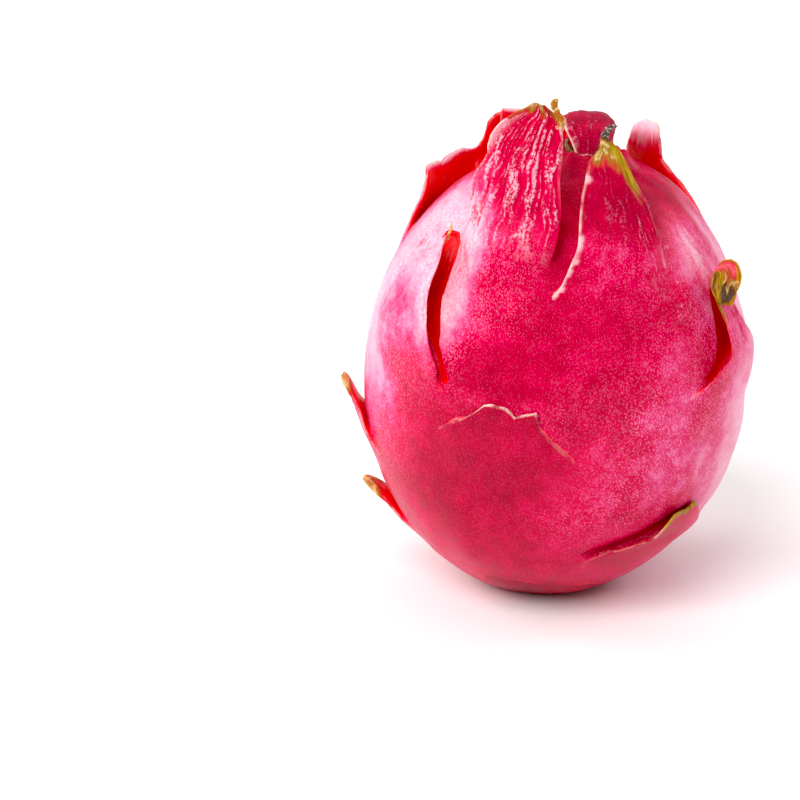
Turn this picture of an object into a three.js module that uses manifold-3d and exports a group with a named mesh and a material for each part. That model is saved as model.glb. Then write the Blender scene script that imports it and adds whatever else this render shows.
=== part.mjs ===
// A dragon fruit standing upright on a small flat spot, its crown of scales on top.
// Millimetres, +Z up, origin at the centre of the flat spot, -Y the front.
import * as THREE from "three";
import { mergeVertices } from "three/addons/utils/BufferGeometryUtils.js";
import Module from "manifold-3d";

const wasm = await Module();
wasm.setup();

// ---- driving dimensions ------------------------------------------------------------
const BODY_RADIUS = 44.9; // half the width of the egg-shaped body
const BODY_HALF_LENGTH = 53.7; // half its length along its own axis
const LEAN = 8; // degrees its axis leans to +X
const FLAT_CUT = 2.5; // how much of the round underside the flat spot takes
const NAVEL_DEPTH = 7.5; // soft dimple at the crown
const NAVEL_WIDTH = 9;
const COLLAR_RADIUS = 8; // swollen ring of skin round the dimple
const COLLAR_WIDTH = 2.8;
const COLLAR_HEIGHT = 4.6;
const FLOWER_SCAR_RADIUS = 5; // round scar where the flower withered
const FLOWER_SCAR_FLOOR = 48.5; // height of its floor above the body's centre
const FLOWER_SCAR_CUT = 8; // how high above its floor the skin is cut away
const STEM_RECESS_RADIUS = 4.2; // recess round the cut stem
const STEM_RECESS_CEILING = -46.5;
const STEM_RADIUS = 3.2;
const STEM_END_CLEARANCE = 1.0; // the cut stem stays this far above the surface
const GAP = 0.3; // between pieces that meet

const BODY_AROUND = 48; // facets
const BODY_ALONG = 26;
const BLADE_ACROSS = 8;
const BLADE_ALONG = 11;
const HIDDEN_ACROSS = 6;
const HIDDEN_ALONG = 7;

const BLADE_ROOT = 3.2; // thickness of a scale at its root and at its margin
const BLADE_EDGE = 0.9;
const TIP_CROWDING = 0.75; // below 1, the facets of a scale are shorter towards its tip
const TIGHTEST_ARC = 12; // a scale is never rolled tighter than this across its width

// The scales that stand out most. at: degrees round the axis from the front, + to +X.
// spine: [distance from the axis, height above the body's centre]. outline: [part of the
// spine's length, margin towards -, margin towards +], in mm round the axis. lift: how far
// each margin turns outwards. sink: [part of the spine's length, how far the margins dive
// inwards]. torn: [-1 to 1 across the end, how much shorter it is]. horn: a dry tip, as
// [across, along, outwards] from the end of the spine.
const SCALES = [
  { at: -34, // front left of the crown
    spine: [[38.7, 25.5], [37.4, 30], [36.3, 35], [34, 45], [31.5, 54], [28, 63], [25.5, 67.5]],
    outline: [[0, -15, 17], [0.2, -12, 16], [0.44, -9.6, 14.9], [0.66, -8.3, 12.2],
      [0.77, -7.2, 11], [0.88, -4.7, 9.2], [0.94, -2.4, 8], [1, 0, 3]],
    sink: [[0, 3, 3], [0.25, 2.6, 0.8], [0.42, 1.6, 0], [0.56, 0, 0]],
    wave: 0.6, waves: 3,
    horn: { path: [[8, -4.4, -0.4], [8, -2.6, 0.3], [6.2, -0.8, 0.8], [4.8, 0.9, 0.9], [5.4, 1.8, 1]],
      radius: 0.8 } },
  { at: 18, // front centre, ending in a long point
    spine: [[40.4, 21.5], [39.6, 25], [38.1, 30], [34.6, 40], [30.5, 49], [26, 57], [22.2, 61.3]],
    outline: [[0, -18.5, 18], [0.15, -17.2, 16.4], [0.21, -16, 15], [0.32, -13.6, 12.8],
      [0.45, -11.5, 9.9], [0.57, -11.2, 7.4], [0.67, -10.8, 5.2], [0.76, -9.9, 3],
      [0.86, -9, 0.6], [0.95, -6.3, -1.5], [1, -5, -3]],
    sink: [[0, 3, 3.4], [0.1, 1.8, 3.2], [0.18, 0.2, 2.8], [0.52, 0, 1.9], [0.66, 0, 0]],
    lift: [0.4, 0], wave: 0.5, waves: 2,
    horn: { path: [[-4.4, -2.5, -0.5], [-4.5, 1, 0.2], [-3.5, 2.8, 0.6], [-1.8, 3.7, 1.2]],
      radius: 0.95 } },
  { at: -110, // back left, broad with a flat end
    spine: [[39.4, 19.5], [40.5, 25.2], [39.5, 29.1], [37.7, 33.6], [36.9, 37], [36.7, 42], [36.2, 47.4]],
    outline: [[0, -16, 11], [0.3, -18, 12], [0.7, -19, 12], [0.9, -19.5, 11.4], [1, -19, 10.5]],
    torn: [[-1, 0.2], [-0.5, 2.2], [-0.05, 3.6], [0.1, 4.6], [0.25, 4], [1, 3.2]],
    wave: 0.4, waves: 2 },
  { at: -160, // back, behind the two that meet at the front left
    spine: [[32.5, 32], [37, 41], [35.5, 48], [33, 54.5]],
    outline: [[0, -14, 15], [0.5, -12, 16], [0.8, -7, 14.5], [0.94, -2, 13], [1, 3, 11.5]],
    torn: [[-1, 0], [1, 0.6]], wave: 0.5, waves: 1 },
  { at: -158, // inner back
    spine: [[29, 36], [32, 45], [31, 51], [29.5, 55.8]],
    outline: [[0, -12, 9], [0.6, -10, 10.5], [0.85, -5, 10.8], [0.95, -1, 11.2], [1, 2.5, 11]],
    wave: 0.5, waves: 1 },
  { at: 180, // back, curled forward over the crown
    spine: [[18.5, 40], [21, 52], [16, 58.5], [8, 60.8], [0.5, 59.4], [-7.2, 54.2]],
    outline: [[0, -12, 8], [0.25, -10, 5.4], [0.45, -10.5, 7], [0.6, -12, 8.6], [0.7, -11, 8.4],
      [0.8, -9.4, 7.2], [0.9, -7, 5], [1, -3.4, 2.8]],
    lift: [-7, -1.6] },
  { at: 140, // back right, its end turned up
    spine: [[31, 33], [32.5, 41], [27.5, 48], [22.5, 53], [19.5, 56.5], [19.3, 59.5]],
    outline: [[0, -21, 12], [0.15, -18.5, 11], [0.22, -13, 10.4], [0.29, -8.8, 10], [0.4, -6.4, 9.4],
      [0.53, -4.4, 8.4], [0.63, -3.2, 7.4], [0.76, -4.8, 5.2], [0.84, -6, 3.8],
      [0.91, -6.9, 2.6], [0.96, -6.6, 1.4], [1, -5.4, -1]],
    wave: 0.3, waves: 2 },
  { at: -62, // left flank
    spine: [[43.9, -6], [45.6, 4], [46.4, 11], [45.8, 18], [43.5, 26], [37.5, 35.5]],
    outline: [[0, -20, 20], [0.3, -16, 21], [0.5, -11, 16.7], [0.7, -5, 13], [0.85, 0, 10.9],
      [0.95, 4, 8.2], [1, 6, 7.2]],
    sink: [[0, 2, 2], [0.25, 2, 0.4], [0.4, 1.6, 0], [0.8, 0.6, 0], [1, 0, 0]],
    lift: [-1.4, 1], horn: { path: [[6.6, -1.5, -0.3], [6.7, 0.8, 0.1], [5.6, 3.2, 0.5]], radius: 0.45 } },
  { at: 62, // right flank, its dry end curled over
    spine: [[44.1, -4], [45.5, 5], [46.1, 11], [45.6, 18], [43.4, 24], [41.2, 29], [39.4, 32],
      [39.1, 34.3], [40, 35.8], [41.5, 34.8], [42, 31.6], [41.5, 28.6]],
    outline: [[0, -18, 20], [0.14, -18.5, 21], [0.21, -18.8, 20.5], [0.29, -16, 19.5],
      [0.36, -10.6, 17.5], [0.42, -6.8, 14.5], [0.49, -6, 10.5], [0.55, -6, 6.5],
      [0.62, -6.8, 3.4], [0.68, -7.8, 1.6], [0.74, -8, 0.4], [0.79, -7.6, -1],
      [0.84, -7.8, -2], [0.88, -8.8, -3.6], [0.92, -9.2, -4.6], [0.96, -8.8, -5.2],
      [1, -7.4, -5.2]],
    sink: [[0, 2, 2], [0.12, 1.8, 2], [0.19, 0.7, 1.6], [0.26, 0, 1], [0.42, 0, 0]],
    lift: [0.8, -1.6] },
  { at: -16, // lower front, broad with a torn end
    spine: [[40.6, -21], [43.9, -13], [45.8, -5], [46.9, 5]],
    outline: [[0, -24, 26], [0.3, -22, 24], [0.5, -18, 19.5], [0.6, -15, 16], [0.8, -9.5, 10.8],
      [0.9, -6.5, 9.3], [1, -4, 8.2]],
    torn: [[-1, 1.4], [-0.7, 0.6], [-0.1, 0.6], [0.25, 2.2], [0.6, 1.3], [1, 0.4]],
    sink: [[0, 2, 2], [0.3, 1.6, 1], [0.42, 0.9, 0.2], [0.6, 0.2, 0], [0.7, 0, 0]],
    lift: [-0.6, -0.6] },
  { at: 60, // lower right, its margin turned out
    spine: [[28, -41], [32.9, -36], [37.1, -31], [40.4, -26], [42.8, -21], [43.6, -18.3]],
    outline: [[0, -18, 18], [0.25, -23, 18], [0.42, -26.8, 17.5], [0.5, -26.4, 16.5],
      [0.56, -23.4, 15], [0.62, -20.4, 13], [0.68, -17.6, 10], [0.75, -15.6, 8],
      [0.8, -15, 6], [0.9, -14.2, 3], [1, -13.2, 0.5]],
    torn: [[-1, 1.2], [-0.1, 1.9], [0.2, 0], [1, 4]],
    sink: [[0, 2, 2], [0.3, 1, 1], [0.45, 0, 0]],
    lift: [1.6, 0.2], wave: 0.3, waves: 2 },
  { at: 8, // base, front
    spine: [[14.3, -50.3], [21.2, -47.6], [27.4, -43.4]],
    outline: [[0, -10, 12], [0.5, -14, 14], [0.85, -14.5, 14.5], [1, -11, 11]] },
];

// The scales round the back and the lower left, in rings that are staggered up the fruit.
const SEED = 11;
const RINGS = [
  { height: -46, length: 13, width: 11, from: 118, step: 52, count: 4 },
  { height: -29, length: 24, width: 15, from: 129, step: 47, count: 4 },
  { height: -5, length: 34, width: 15, from: 134, step: 46, count: 3 },
];
const RING_SWAY = 5; // degrees either way
const HIDDEN_LIFT = [[0, -0.8], [0.25, 0.3], [0.5, 1.3], [0.8, 3], [1, 5.5]]; // clear of the skin
const HIDDEN_OUTLINE = [[0, 1], [0.35, 1], [0.7, 0.62], [0.9, 0.28], [1, 0.06]];
const HIDDEN_SINK = [[0, 2, 2], [0.3, 1, 1], [0.55, 0, 0]];

// ---- small tools -------------------------------------------------------------------
const rad = THREE.MathUtils.degToRad;
const ease = THREE.MathUtils.smoothstep;

function seeded(seed) {
  let state = seed;
  return () => {
    state = (state * 48271) % 2147483647;
    return state / 2147483647;
  };
}

function solid(points, triangles) {
  const bare = new THREE.BufferGeometry();
  bare.setAttribute("position", new THREE.Float32BufferAttribute(points.flatMap((p) => [p.x, p.y, p.z]), 3));
  bare.setIndex(triangles.flat());
  return fromGeometry(bare);
}

function fromGeometry(geometry) {
  geometry.deleteAttribute("normal");
  geometry.deleteAttribute("uv");
  const merged = mergeVertices(geometry, 1e-4);
  return new wasm.Manifold(new wasm.Mesh({
    numProp: 3,
    vertProperties: new Float32Array(merged.attributes.position.array),
    triVerts: new Uint32Array(merged.index.array),
  }));
}

function toMesh(name, shape, material) {
  const { vertProperties, triVerts, numProp } = shape.getMesh();
  const geometry = new THREE.BufferGeometry();
  const count = vertProperties.length / numProp;
  const positions = new Float32Array(count * 3);
  for (let i = 0; i < count; i += 1) {
    for (let k = 0; k < 3; k += 1) positions[i * 3 + k] = vertProperties[i * numProp + k];
  }
  geometry.setAttribute("position", new THREE.BufferAttribute(positions, 3));
  geometry.setIndex(new THREE.BufferAttribute(new Uint32Array(triVerts), 1));
  geometry.computeVertexNormals();
  const mesh = new THREE.Mesh(geometry, material);
  mesh.name = name;
  return mesh;
}

// A closed skin over rings of points, the first and last ring closed by a fan.
function tube(rings) {
  const sides = rings[0].length;
  const points = rings.flat();
  const triangles = [];
  for (let i = 0; i + 1 < rings.length; i += 1) {
    for (let j = 0; j < sides; j += 1) {
      const a = i * sides + j;
      const b = i * sides + ((j + 1) % sides);
      triangles.push([a, b, b + sides], [a, b + sides, a + sides]);
    }
  }
  const last = (rings.length - 1) * sides;
  for (let j = 1; j + 1 < sides; j += 1) {
    triangles.push([0, j + 1, j], [last, last + j, last + j + 1]);
  }
  return solid(points, triangles);
}

// A tapering strand along a path, round in section.
function strand(path, radiusAt, steps, sides) {
  const curve = new THREE.CatmullRomCurve3(path, false, "catmullrom", 0.5);
  const frames = curve.computeFrenetFrames(steps, false);
  const rings = [];
  for (let i = 0; i <= steps; i += 1) {
    const centre = curve.getPointAt(i / steps);
    const ring = [];
    for (let j = 0; j < sides; j += 1) {
      const angle = (2 * Math.PI * j) / sides;
      ring.push(centre.clone()
        .addScaledVector(frames.normals[i], radiusAt(i / steps) * Math.cos(angle))
        .addScaledVector(frames.binormals[i], radiusAt(i / steps) * Math.sin(angle)));
    }
    rings.push(ring);
  }
  return tube(rings);
}

function lathe(profile, segments) {
  const turned = new THREE.LatheGeometry(profile.map(([r, z]) => new THREE.Vector2(r, z)), segments);
  turned.rotateX(Math.PI / 2); // the axis becomes +Z
  return fromGeometry(turned);
}

// ---- the body ----------------------------------------------------------------------
function skinRadius(height) {
  return BODY_RADIUS * Math.sqrt(Math.max(0, 1 - (height / BODY_HALF_LENGTH) ** 2));
}

function egg() {
  const points = [];
  for (let i = 0; i <= BODY_ALONG; i += 1) {
    const polar = (Math.PI * i) / BODY_ALONG;
    const r = BODY_RADIUS * Math.sin(polar);
    const crown = i < BODY_ALONG / 2 ? 1 : 0;
    const collar = COLLAR_HEIGHT * Math.exp(-(((r - COLLAR_RADIUS) / COLLAR_WIDTH) ** 2));
    const dimple = NAVEL_DEPTH * Math.exp(-((r / NAVEL_WIDTH) ** 2));
    const z = BODY_HALF_LENGTH * Math.cos(polar) + crown * (collar - dimple);
    const around = i === 0 || i === BODY_ALONG ? 1 : BODY_AROUND;
    for (let j = 0; j < around; j += 1) {
      const azimuth = (2 * Math.PI * j) / BODY_AROUND;
      points.push(new THREE.Vector3(r * Math.sin(azimuth), -r * Math.cos(azimuth), z));
    }
  }
  const row = (i, j) => {
    if (i === 0) return 0;
    return i === BODY_ALONG ? points.length - 1 : 1 + (i - 1) * BODY_AROUND + (j % BODY_AROUND);
  };
  const triangles = [];
  for (let i = 0; i < BODY_ALONG; i += 1) {
    for (let j = 0; j < BODY_AROUND; j += 1) {
      const [a, b, c, d] = [row(i, j), row(i + 1, j), row(i + 1, j + 1), row(i, j + 1)];
      if (i > 0) triangles.push([a, c, d]);
      if (i + 1 < BODY_ALONG) triangles.push([a, b, c]);
    }
  }
  return solid(points, triangles);
}

// ---- the scales --------------------------------------------------------------------
// Smooth value of one column of a scale's outline, with no overshoot between its rows.
function outlineAt(rows, along, column) {
  const slopes = rows.slice(1).map((row, i) => (row[column] - rows[i][column]) / (row[0] - rows[i][0]));
  const bend = (i) => {
    if (i === 0) return slopes[0];
    if (i === rows.length - 1) return slopes[i - 1];
    const [before, after] = [slopes[i - 1], slopes[i]];
    return before * after <= 0 ? 0 : (2 * before * after) / (before + after);
  };
  const next = rows.findIndex((row) => row[0] > along);
  const start = next < 0 ? rows.length - 2 : Math.max(next - 1, 0);
  const span = rows[start + 1][0] - rows[start][0];
  const t = THREE.MathUtils.clamp((along - rows[start][0]) / span, 0, 1);
  return (2 * t ** 3 - 3 * t ** 2 + 1) * rows[start][column] + (t ** 3 - 2 * t ** 2 + t) * span * bend(start)
    + (3 * t ** 2 - 2 * t ** 3) * rows[start + 1][column] + (t ** 3 - t ** 2) * span * bend(start + 1);
}

// Straight-line reading of one column of a short table.
function rowsAt(rows, place, column) {
  const next = rows.findIndex((row) => row[0] > place);
  if (next <= 0) return rows[next < 0 ? rows.length - 1 : 0][column];
  const [before, after] = [rows[next - 1], rows[next]];
  return THREE.MathUtils.mapLinear(place, before[0], after[0], before[column], after[column]);
}

// The frame of a scale at one place along its spine.
function spineFrame(scale, curve, along) {
  const [point, tangent] = [curve.getPointAt(along), curve.getTangentAt(along)];
  const azimuth = rad(scale.at);
  return {
    r: point.x,
    z: point.y,
    outR: tangent.y, // the outward normal of the scale's outer face
    outZ: -tangent.x,
    radial: new THREE.Vector3(Math.sin(azimuth), -Math.cos(azimuth), 0),
    across: new THREE.Vector3(Math.cos(azimuth), Math.sin(azimuth), 0),
  };
}

function spinePoint(frame, across, outwards) {
  const arc = Math.max(Math.abs(frame.r), TIGHTEST_ARC);
  const angle = across / arc;
  return new THREE.Vector3(0, 0, frame.z + frame.outZ * outwards)
    .addScaledVector(frame.radial, frame.r + frame.outR * outwards - arc * (1 - Math.cos(angle)))
    .addScaledVector(frame.across, arc * Math.sin(angle) * (1 + outwards / arc));
}

function spineCurve(scale) {
  const points = scale.spine.map(([r, z]) => new THREE.Vector3(r, z, 0));
  return new THREE.CatmullRomCurve3(points, false, "catmullrom", 0.5);
}

function blade(scale, acrossSteps, alongSteps) {
  const curve = spineCurve(scale);
  const [liftLow, liftHigh] = scale.lift ?? [0, 0];
  const length = curve.getLength();
  const faces = [[], []];
  for (let i = 0; i <= alongSteps; i += 1) {
    const v = (i / alongSteps) ** TIP_CROWDING;
    const [low, high] = [1, 2].map((column) => outlineAt(scale.outline, v, column));
    for (let j = 0; j <= acrossSteps; j += 1) {
      const u = (2 * j) / acrossSteps - 1;
      const missing = scale.torn ? rowsAt(scale.torn, u, 1) : 0;
      const along = Math.max(0, v - (missing / length) * ease(v, 0.5, 1));
      const across = (low + high) / 2 + (u * (high - low)) / 2;
      const wave = (scale.wave ?? 0) * u ** 2 * Math.sin(2 * Math.PI * (scale.waves ?? 2) * along + 1.7 * u);
      const sunk = scale.sink ? rowsAt(scale.sink, v, u < 0 ? 1 : 2) * Math.abs(u) ** 3 : 0;
      const turned = ((u < 0 ? liftLow : liftHigh) * u ** 2 + wave) * ease(along, 0, 0.3) - sunk;
      const depth = BLADE_EDGE + (BLADE_ROOT - BLADE_EDGE) * (1 - along) ** 1.2 * (1 - Math.abs(u) ** 2.5);
      const frame = spineFrame(scale, curve, along);
      faces[0].push(spinePoint(frame, across, turned));
      faces[1].push(spinePoint(frame, across, turned - depth));
    }
  }
  return closeFaces(faces, acrossSteps, alongSteps);
}

// Two sheets of points, one behind the other, closed round their edges.
function closeFaces([outer, inner], acrossSteps, alongSteps) {
  const points = [...outer, ...inner];
  const back = outer.length;
  const at = (i, j) => i * (acrossSteps + 1) + j;
  const triangles = [];
  for (let i = 0; i < alongSteps; i += 1) {
    for (let j = 0; j < acrossSteps; j += 1) {
      const [a, b, c, d] = [at(i, j), at(i, j + 1), at(i + 1, j + 1), at(i + 1, j)];
      triangles.push([a, b, c], [a, c, d], [back + a, back + c, back + b], [back + a, back + d, back + c]);
    }
  }
  const rim = [];
  for (let j = 0; j < acrossSteps; j += 1) rim.push(at(0, j));
  for (let i = 0; i < alongSteps; i += 1) rim.push(at(i, acrossSteps));
  for (let j = acrossSteps; j > 0; j -= 1) rim.push(at(alongSteps, j));
  for (let i = alongSteps; i > 0; i -= 1) rim.push(at(i, 0));
  rim.forEach((a, k) => {
    const b = rim[(k + 1) % rim.length];
    triangles.push([a, back + a, back + b], [a, back + b, b]);
  });
  return solid(points, triangles);
}

function horn(scale) {
  const frame = spineFrame(scale, spineCurve(scale), 1);
  const path = scale.horn.path.map(([across, along, outwards]) => {
    const point = spinePoint(frame, across, outwards - BLADE_EDGE / 2);
    return point.addScaledVector(frame.radial, -frame.outZ * along).setZ(point.z + frame.outR * along);
  });
  return strand(path, (t) => scale.horn.radius * (1 - 0.45 * t), 5, 5);
}

function hiddenScales() {
  const draw = seeded(SEED);
  const scales = [];
  for (const ring of RINGS) {
    for (let k = 0; k < ring.count; k += 1) {
      const at = ring.from + k * ring.step + RING_SWAY * (2 * draw() - 1);
      const size = 0.9 + 0.2 * draw();
      const spine = HIDDEN_LIFT.map(([t, clear]) => {
        const height = ring.height + t * ring.length * size;
        return [skinRadius(height) + clear * (t < 1 ? 1 : 0.8 + 0.4 * draw()), height];
      });
      const half = ring.width * size;
      const outline = HIDDEN_OUTLINE.map(([t, part]) => [t, -part * half, part * half]);
      const waves = 1.5 + draw();
      scales.push({ at, spine, outline, sink: HIDDEN_SINK, wave: 0.4, waves, lift: [0.5, 0.5] });
    }
  }
  return scales;
}

// ---- the withered flower and the cut stem ------------------------------------------
const FLOWER_STUB_RADIUS = 4.5;
const FLOWER_STUB_HEIGHT = 2.6;
const FLOWER_STRANDS = 7;
const FLOWER_OPEN_SIDE = -95; // the strands stand tallest here, clear of the scale curled over them
const FLOWER_SEED = 5;
const FLOWER_STRAND = [[0, 0.7, -1.4], [0.35, 0.95, 0.3], [0.7, 1.1, 0.65], [1, 1.1, 0.95]];

function witheredFlower() {
  const floor = FLOWER_SCAR_FLOOR + GAP;
  const top = floor + FLOWER_STUB_HEIGHT;
  let flower = lathe([[0, floor], [FLOWER_STUB_RADIUS, floor], [FLOWER_STUB_RADIUS * 0.92, floor + 1.6],
    [FLOWER_STUB_RADIUS * 0.75, top], [FLOWER_STUB_RADIUS * 0.4, top - 0.9], [0, top - 1.1]], 14);
  const draw = seeded(FLOWER_SEED);
  for (let k = 0; k < FLOWER_STRANDS; k += 1) {
    const azimuth = (2 * Math.PI * (k + 0.5 * draw())) / FLOWER_STRANDS;
    const openSide = Math.max(0, Math.cos(azimuth - rad(FLOWER_OPEN_SIDE))) ** 3;
    const reach = 0.7 + 4.4 * openSide * (0.8 + 0.2 * draw());
    const curl = (draw() - 0.5) * (1 - openSide);
    const path = FLOWER_STRAND.map(([t, out, up]) => {
      const turn = azimuth + curl * t * 1.6;
      const r = FLOWER_STUB_RADIUS * out;
      return new THREE.Vector3(r * Math.sin(turn), -r * Math.cos(turn), top + (up > 0 ? up * reach : up));
    });
    flower = flower.add(strand(path, (t) => 1.05 - 0.6 * t, 5, 4));
  }
  return flower;
}

function cutStem(endHeight) {
  const root = STEM_RECESS_CEILING - GAP;
  return lathe([[0, endHeight], [STEM_RADIUS * 0.85, endHeight], [STEM_RADIUS, endHeight + 0.4],
    [STEM_RADIUS, root - 0.8], [STEM_RADIUS * 1.1, root], [0, root]], 14);
}

// ---- the whole fruit ---------------------------------------------------------------
const leaned = Math.hypot(BODY_RADIUS * Math.sin(rad(LEAN)), BODY_HALF_LENGTH * Math.cos(rad(LEAN)));
const CENTRE_HEIGHT = leaned - FLAT_CUT;
// The flat spot's centre lies this far to -X of the point under the body's centre.
const FLAT_OFFSET = CENTRE_HEIGHT * Math.sin(rad(LEAN)) * Math.cos(rad(LEAN))
  * (BODY_HALF_LENGTH ** 2 - BODY_RADIUS ** 2) / leaned ** 2;
const stand = new THREE.Matrix4().makeRotationY(rad(LEAN)).setPosition(FLAT_OFFSET, 0, CENTRE_HEIGHT);

function standUp(shape) {
  return shape.transform(stand.elements);
}

const everyScale = [
  ...SCALES.map((scale) => blade(scale, BLADE_ACROSS, BLADE_ALONG)),
  ...hiddenScales().map((scale) => blade(scale, HIDDEN_ACROSS, HIDDEN_ALONG)),
  ...SCALES.filter((scale) => scale.horn).map(horn),
];
const flowerScar = lathe([[0, FLOWER_SCAR_FLOOR], [FLOWER_SCAR_RADIUS, FLOWER_SCAR_FLOOR],
  [FLOWER_SCAR_RADIUS, FLOWER_SCAR_FLOOR + FLOWER_SCAR_CUT],
  [0, FLOWER_SCAR_FLOOR + FLOWER_SCAR_CUT]], 24);
const stemRecess = lathe([[0, -BODY_HALF_LENGTH - 2], [STEM_RECESS_RADIUS, -BODY_HALF_LENGTH - 2],
  [STEM_RECESS_RADIUS, STEM_RECESS_CEILING - 1], [STEM_RECESS_RADIUS - 1, STEM_RECESS_CEILING],
  [0, STEM_RECESS_CEILING]], 20);
const belowSurface = fromGeometry(new THREE.BoxGeometry(200, 200, 40).translate(0, 0, -20));

let whole = egg();
for (const scale of everyScale) whole = whole.add(scale);
whole = standUp(whole.subtract(flowerScar).subtract(stemRecess)).subtract(belowSurface);

const stemEnd = -(CENTRE_HEIGHT - STEM_END_CLEARANCE) / Math.cos(rad(LEAN))
  + STEM_RADIUS * Math.tan(rad(LEAN));

const skin = new THREE.MeshStandardMaterial({ color: "#d6155c", roughness: 0.45, metalness: 0 });
const withered = new THREE.MeshStandardMaterial({ color: "#8a6a3c", roughness: 0.9, metalness: 0 });
const woody = new THREE.MeshStandardMaterial({ color: "#9a9a52", roughness: 0.85, metalness: 0 });

const dragonFruit = new THREE.Group();
dragonFruit.add(
  toMesh("fruit", whole, skin),
  toMesh("dried_flower", standUp(witheredFlower()), withered),
  toMesh("stem_stub", standUp(cutStem(stemEnd)), woody),
);

export default dragonFruit;
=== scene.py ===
"""The looks of a whole dragon fruit that stands on a small flat spot: skin, scales, withered flower
and cut stem. Lengths are in millimetres up to the moment a mesh is finished, then in metres."""

import math

import bmesh
import bpy
import numpy as np
from mathutils import Matrix, Vector, kdtree, noise


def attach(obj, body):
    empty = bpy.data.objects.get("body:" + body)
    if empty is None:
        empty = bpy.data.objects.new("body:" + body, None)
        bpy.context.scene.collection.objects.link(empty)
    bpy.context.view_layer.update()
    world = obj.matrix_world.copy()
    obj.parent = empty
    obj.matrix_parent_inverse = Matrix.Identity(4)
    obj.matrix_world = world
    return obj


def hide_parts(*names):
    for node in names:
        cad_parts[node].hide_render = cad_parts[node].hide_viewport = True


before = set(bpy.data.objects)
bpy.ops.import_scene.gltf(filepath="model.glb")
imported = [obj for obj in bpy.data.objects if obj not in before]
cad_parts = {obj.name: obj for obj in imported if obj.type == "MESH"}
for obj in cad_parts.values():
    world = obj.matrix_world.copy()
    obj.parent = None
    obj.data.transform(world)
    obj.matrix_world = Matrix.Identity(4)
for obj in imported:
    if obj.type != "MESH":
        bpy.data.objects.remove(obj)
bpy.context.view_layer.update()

MM = 0.001

# ---- the same driving dimensions as the solids ---------------------------------------
BODY_RADIUS = 44.9
BODY_HALF_LENGTH = 53.7
LEAN = math.radians(8)
FLAT_CUT = 2.5
NAVEL_DEPTH = 7.5
NAVEL_WIDTH = 9.0
COLLAR_RADIUS = 8.0
COLLAR_WIDTH = 2.8
COLLAR_HEIGHT = 4.6
FLOWER_SCAR_RADIUS = 5.0
FLOWER_SCAR_FLOOR = 48.5
STEM_RECESS_RADIUS = 4.2
STEM_RECESS_CEILING = -46.5
STEM_RADIUS = 3.2
STEM_END_CLEARANCE = 1.0
GAP = 0.3
BLADE_ROOT = 3.2
BLADE_EDGE = 0.9
TIGHTEST_ARC = 12.0

# Each scale: at is degrees round the axis from the front, and spine its distances from the axis and
# heights, from the root. outline: part of the spine's length, then the two margins. torn: how much
# shorter it is across its end. lift: how far each margin turns outwards. wave, waves: how high and
# how many its ripples are. sink: how far each margin dives into the body. rolled: the lip beside
# its end. ridge, ridge_gap: height and gap of its wrinkles. crumple, crumpled_from: height and
# start of its crumples. grid: its facets. horn: the path, radius and dryness of a hooked tip.
# Its finish: fibrous is how stringy it is. tone, toned_from: how much paler (+) or deeper (-) than
# the skin it is, and from where; the deeper tone of lower_front and base_front is painted shade, and
# the paler tone of front_left is partly painted highlight. dry: where its end starts to wither, and
# how far it gets. olive, strip: where a withered strip starts along each margin, and its width.
# bloom: how far the pale end of its inner face reaches down at each margin. pale_margin: side,
# start and width of a pale streak.
# cream: how pale each margin's edge is. inner: how red its inner face is.
PLAIN_SCALE = dict(
    torn=[(-1, 0), (1, 0)], lift=(0, 0), wave=0, waves=2, sink=[(0, 0, 0), (1, 0, 0)], rolled=0,
    ridge=0.1, ridge_gap=2.6, crumple=0, crumpled_from=0.55, fibrous=0.4, tone=0, toned_from=0.15,
    dry=(2, 0), olive=(2, 2), strip=3, cream=[(0, 0, 0), (0.3, 0.15, 0.15), (1, 0.7, 0.7)], inner=1)
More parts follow.
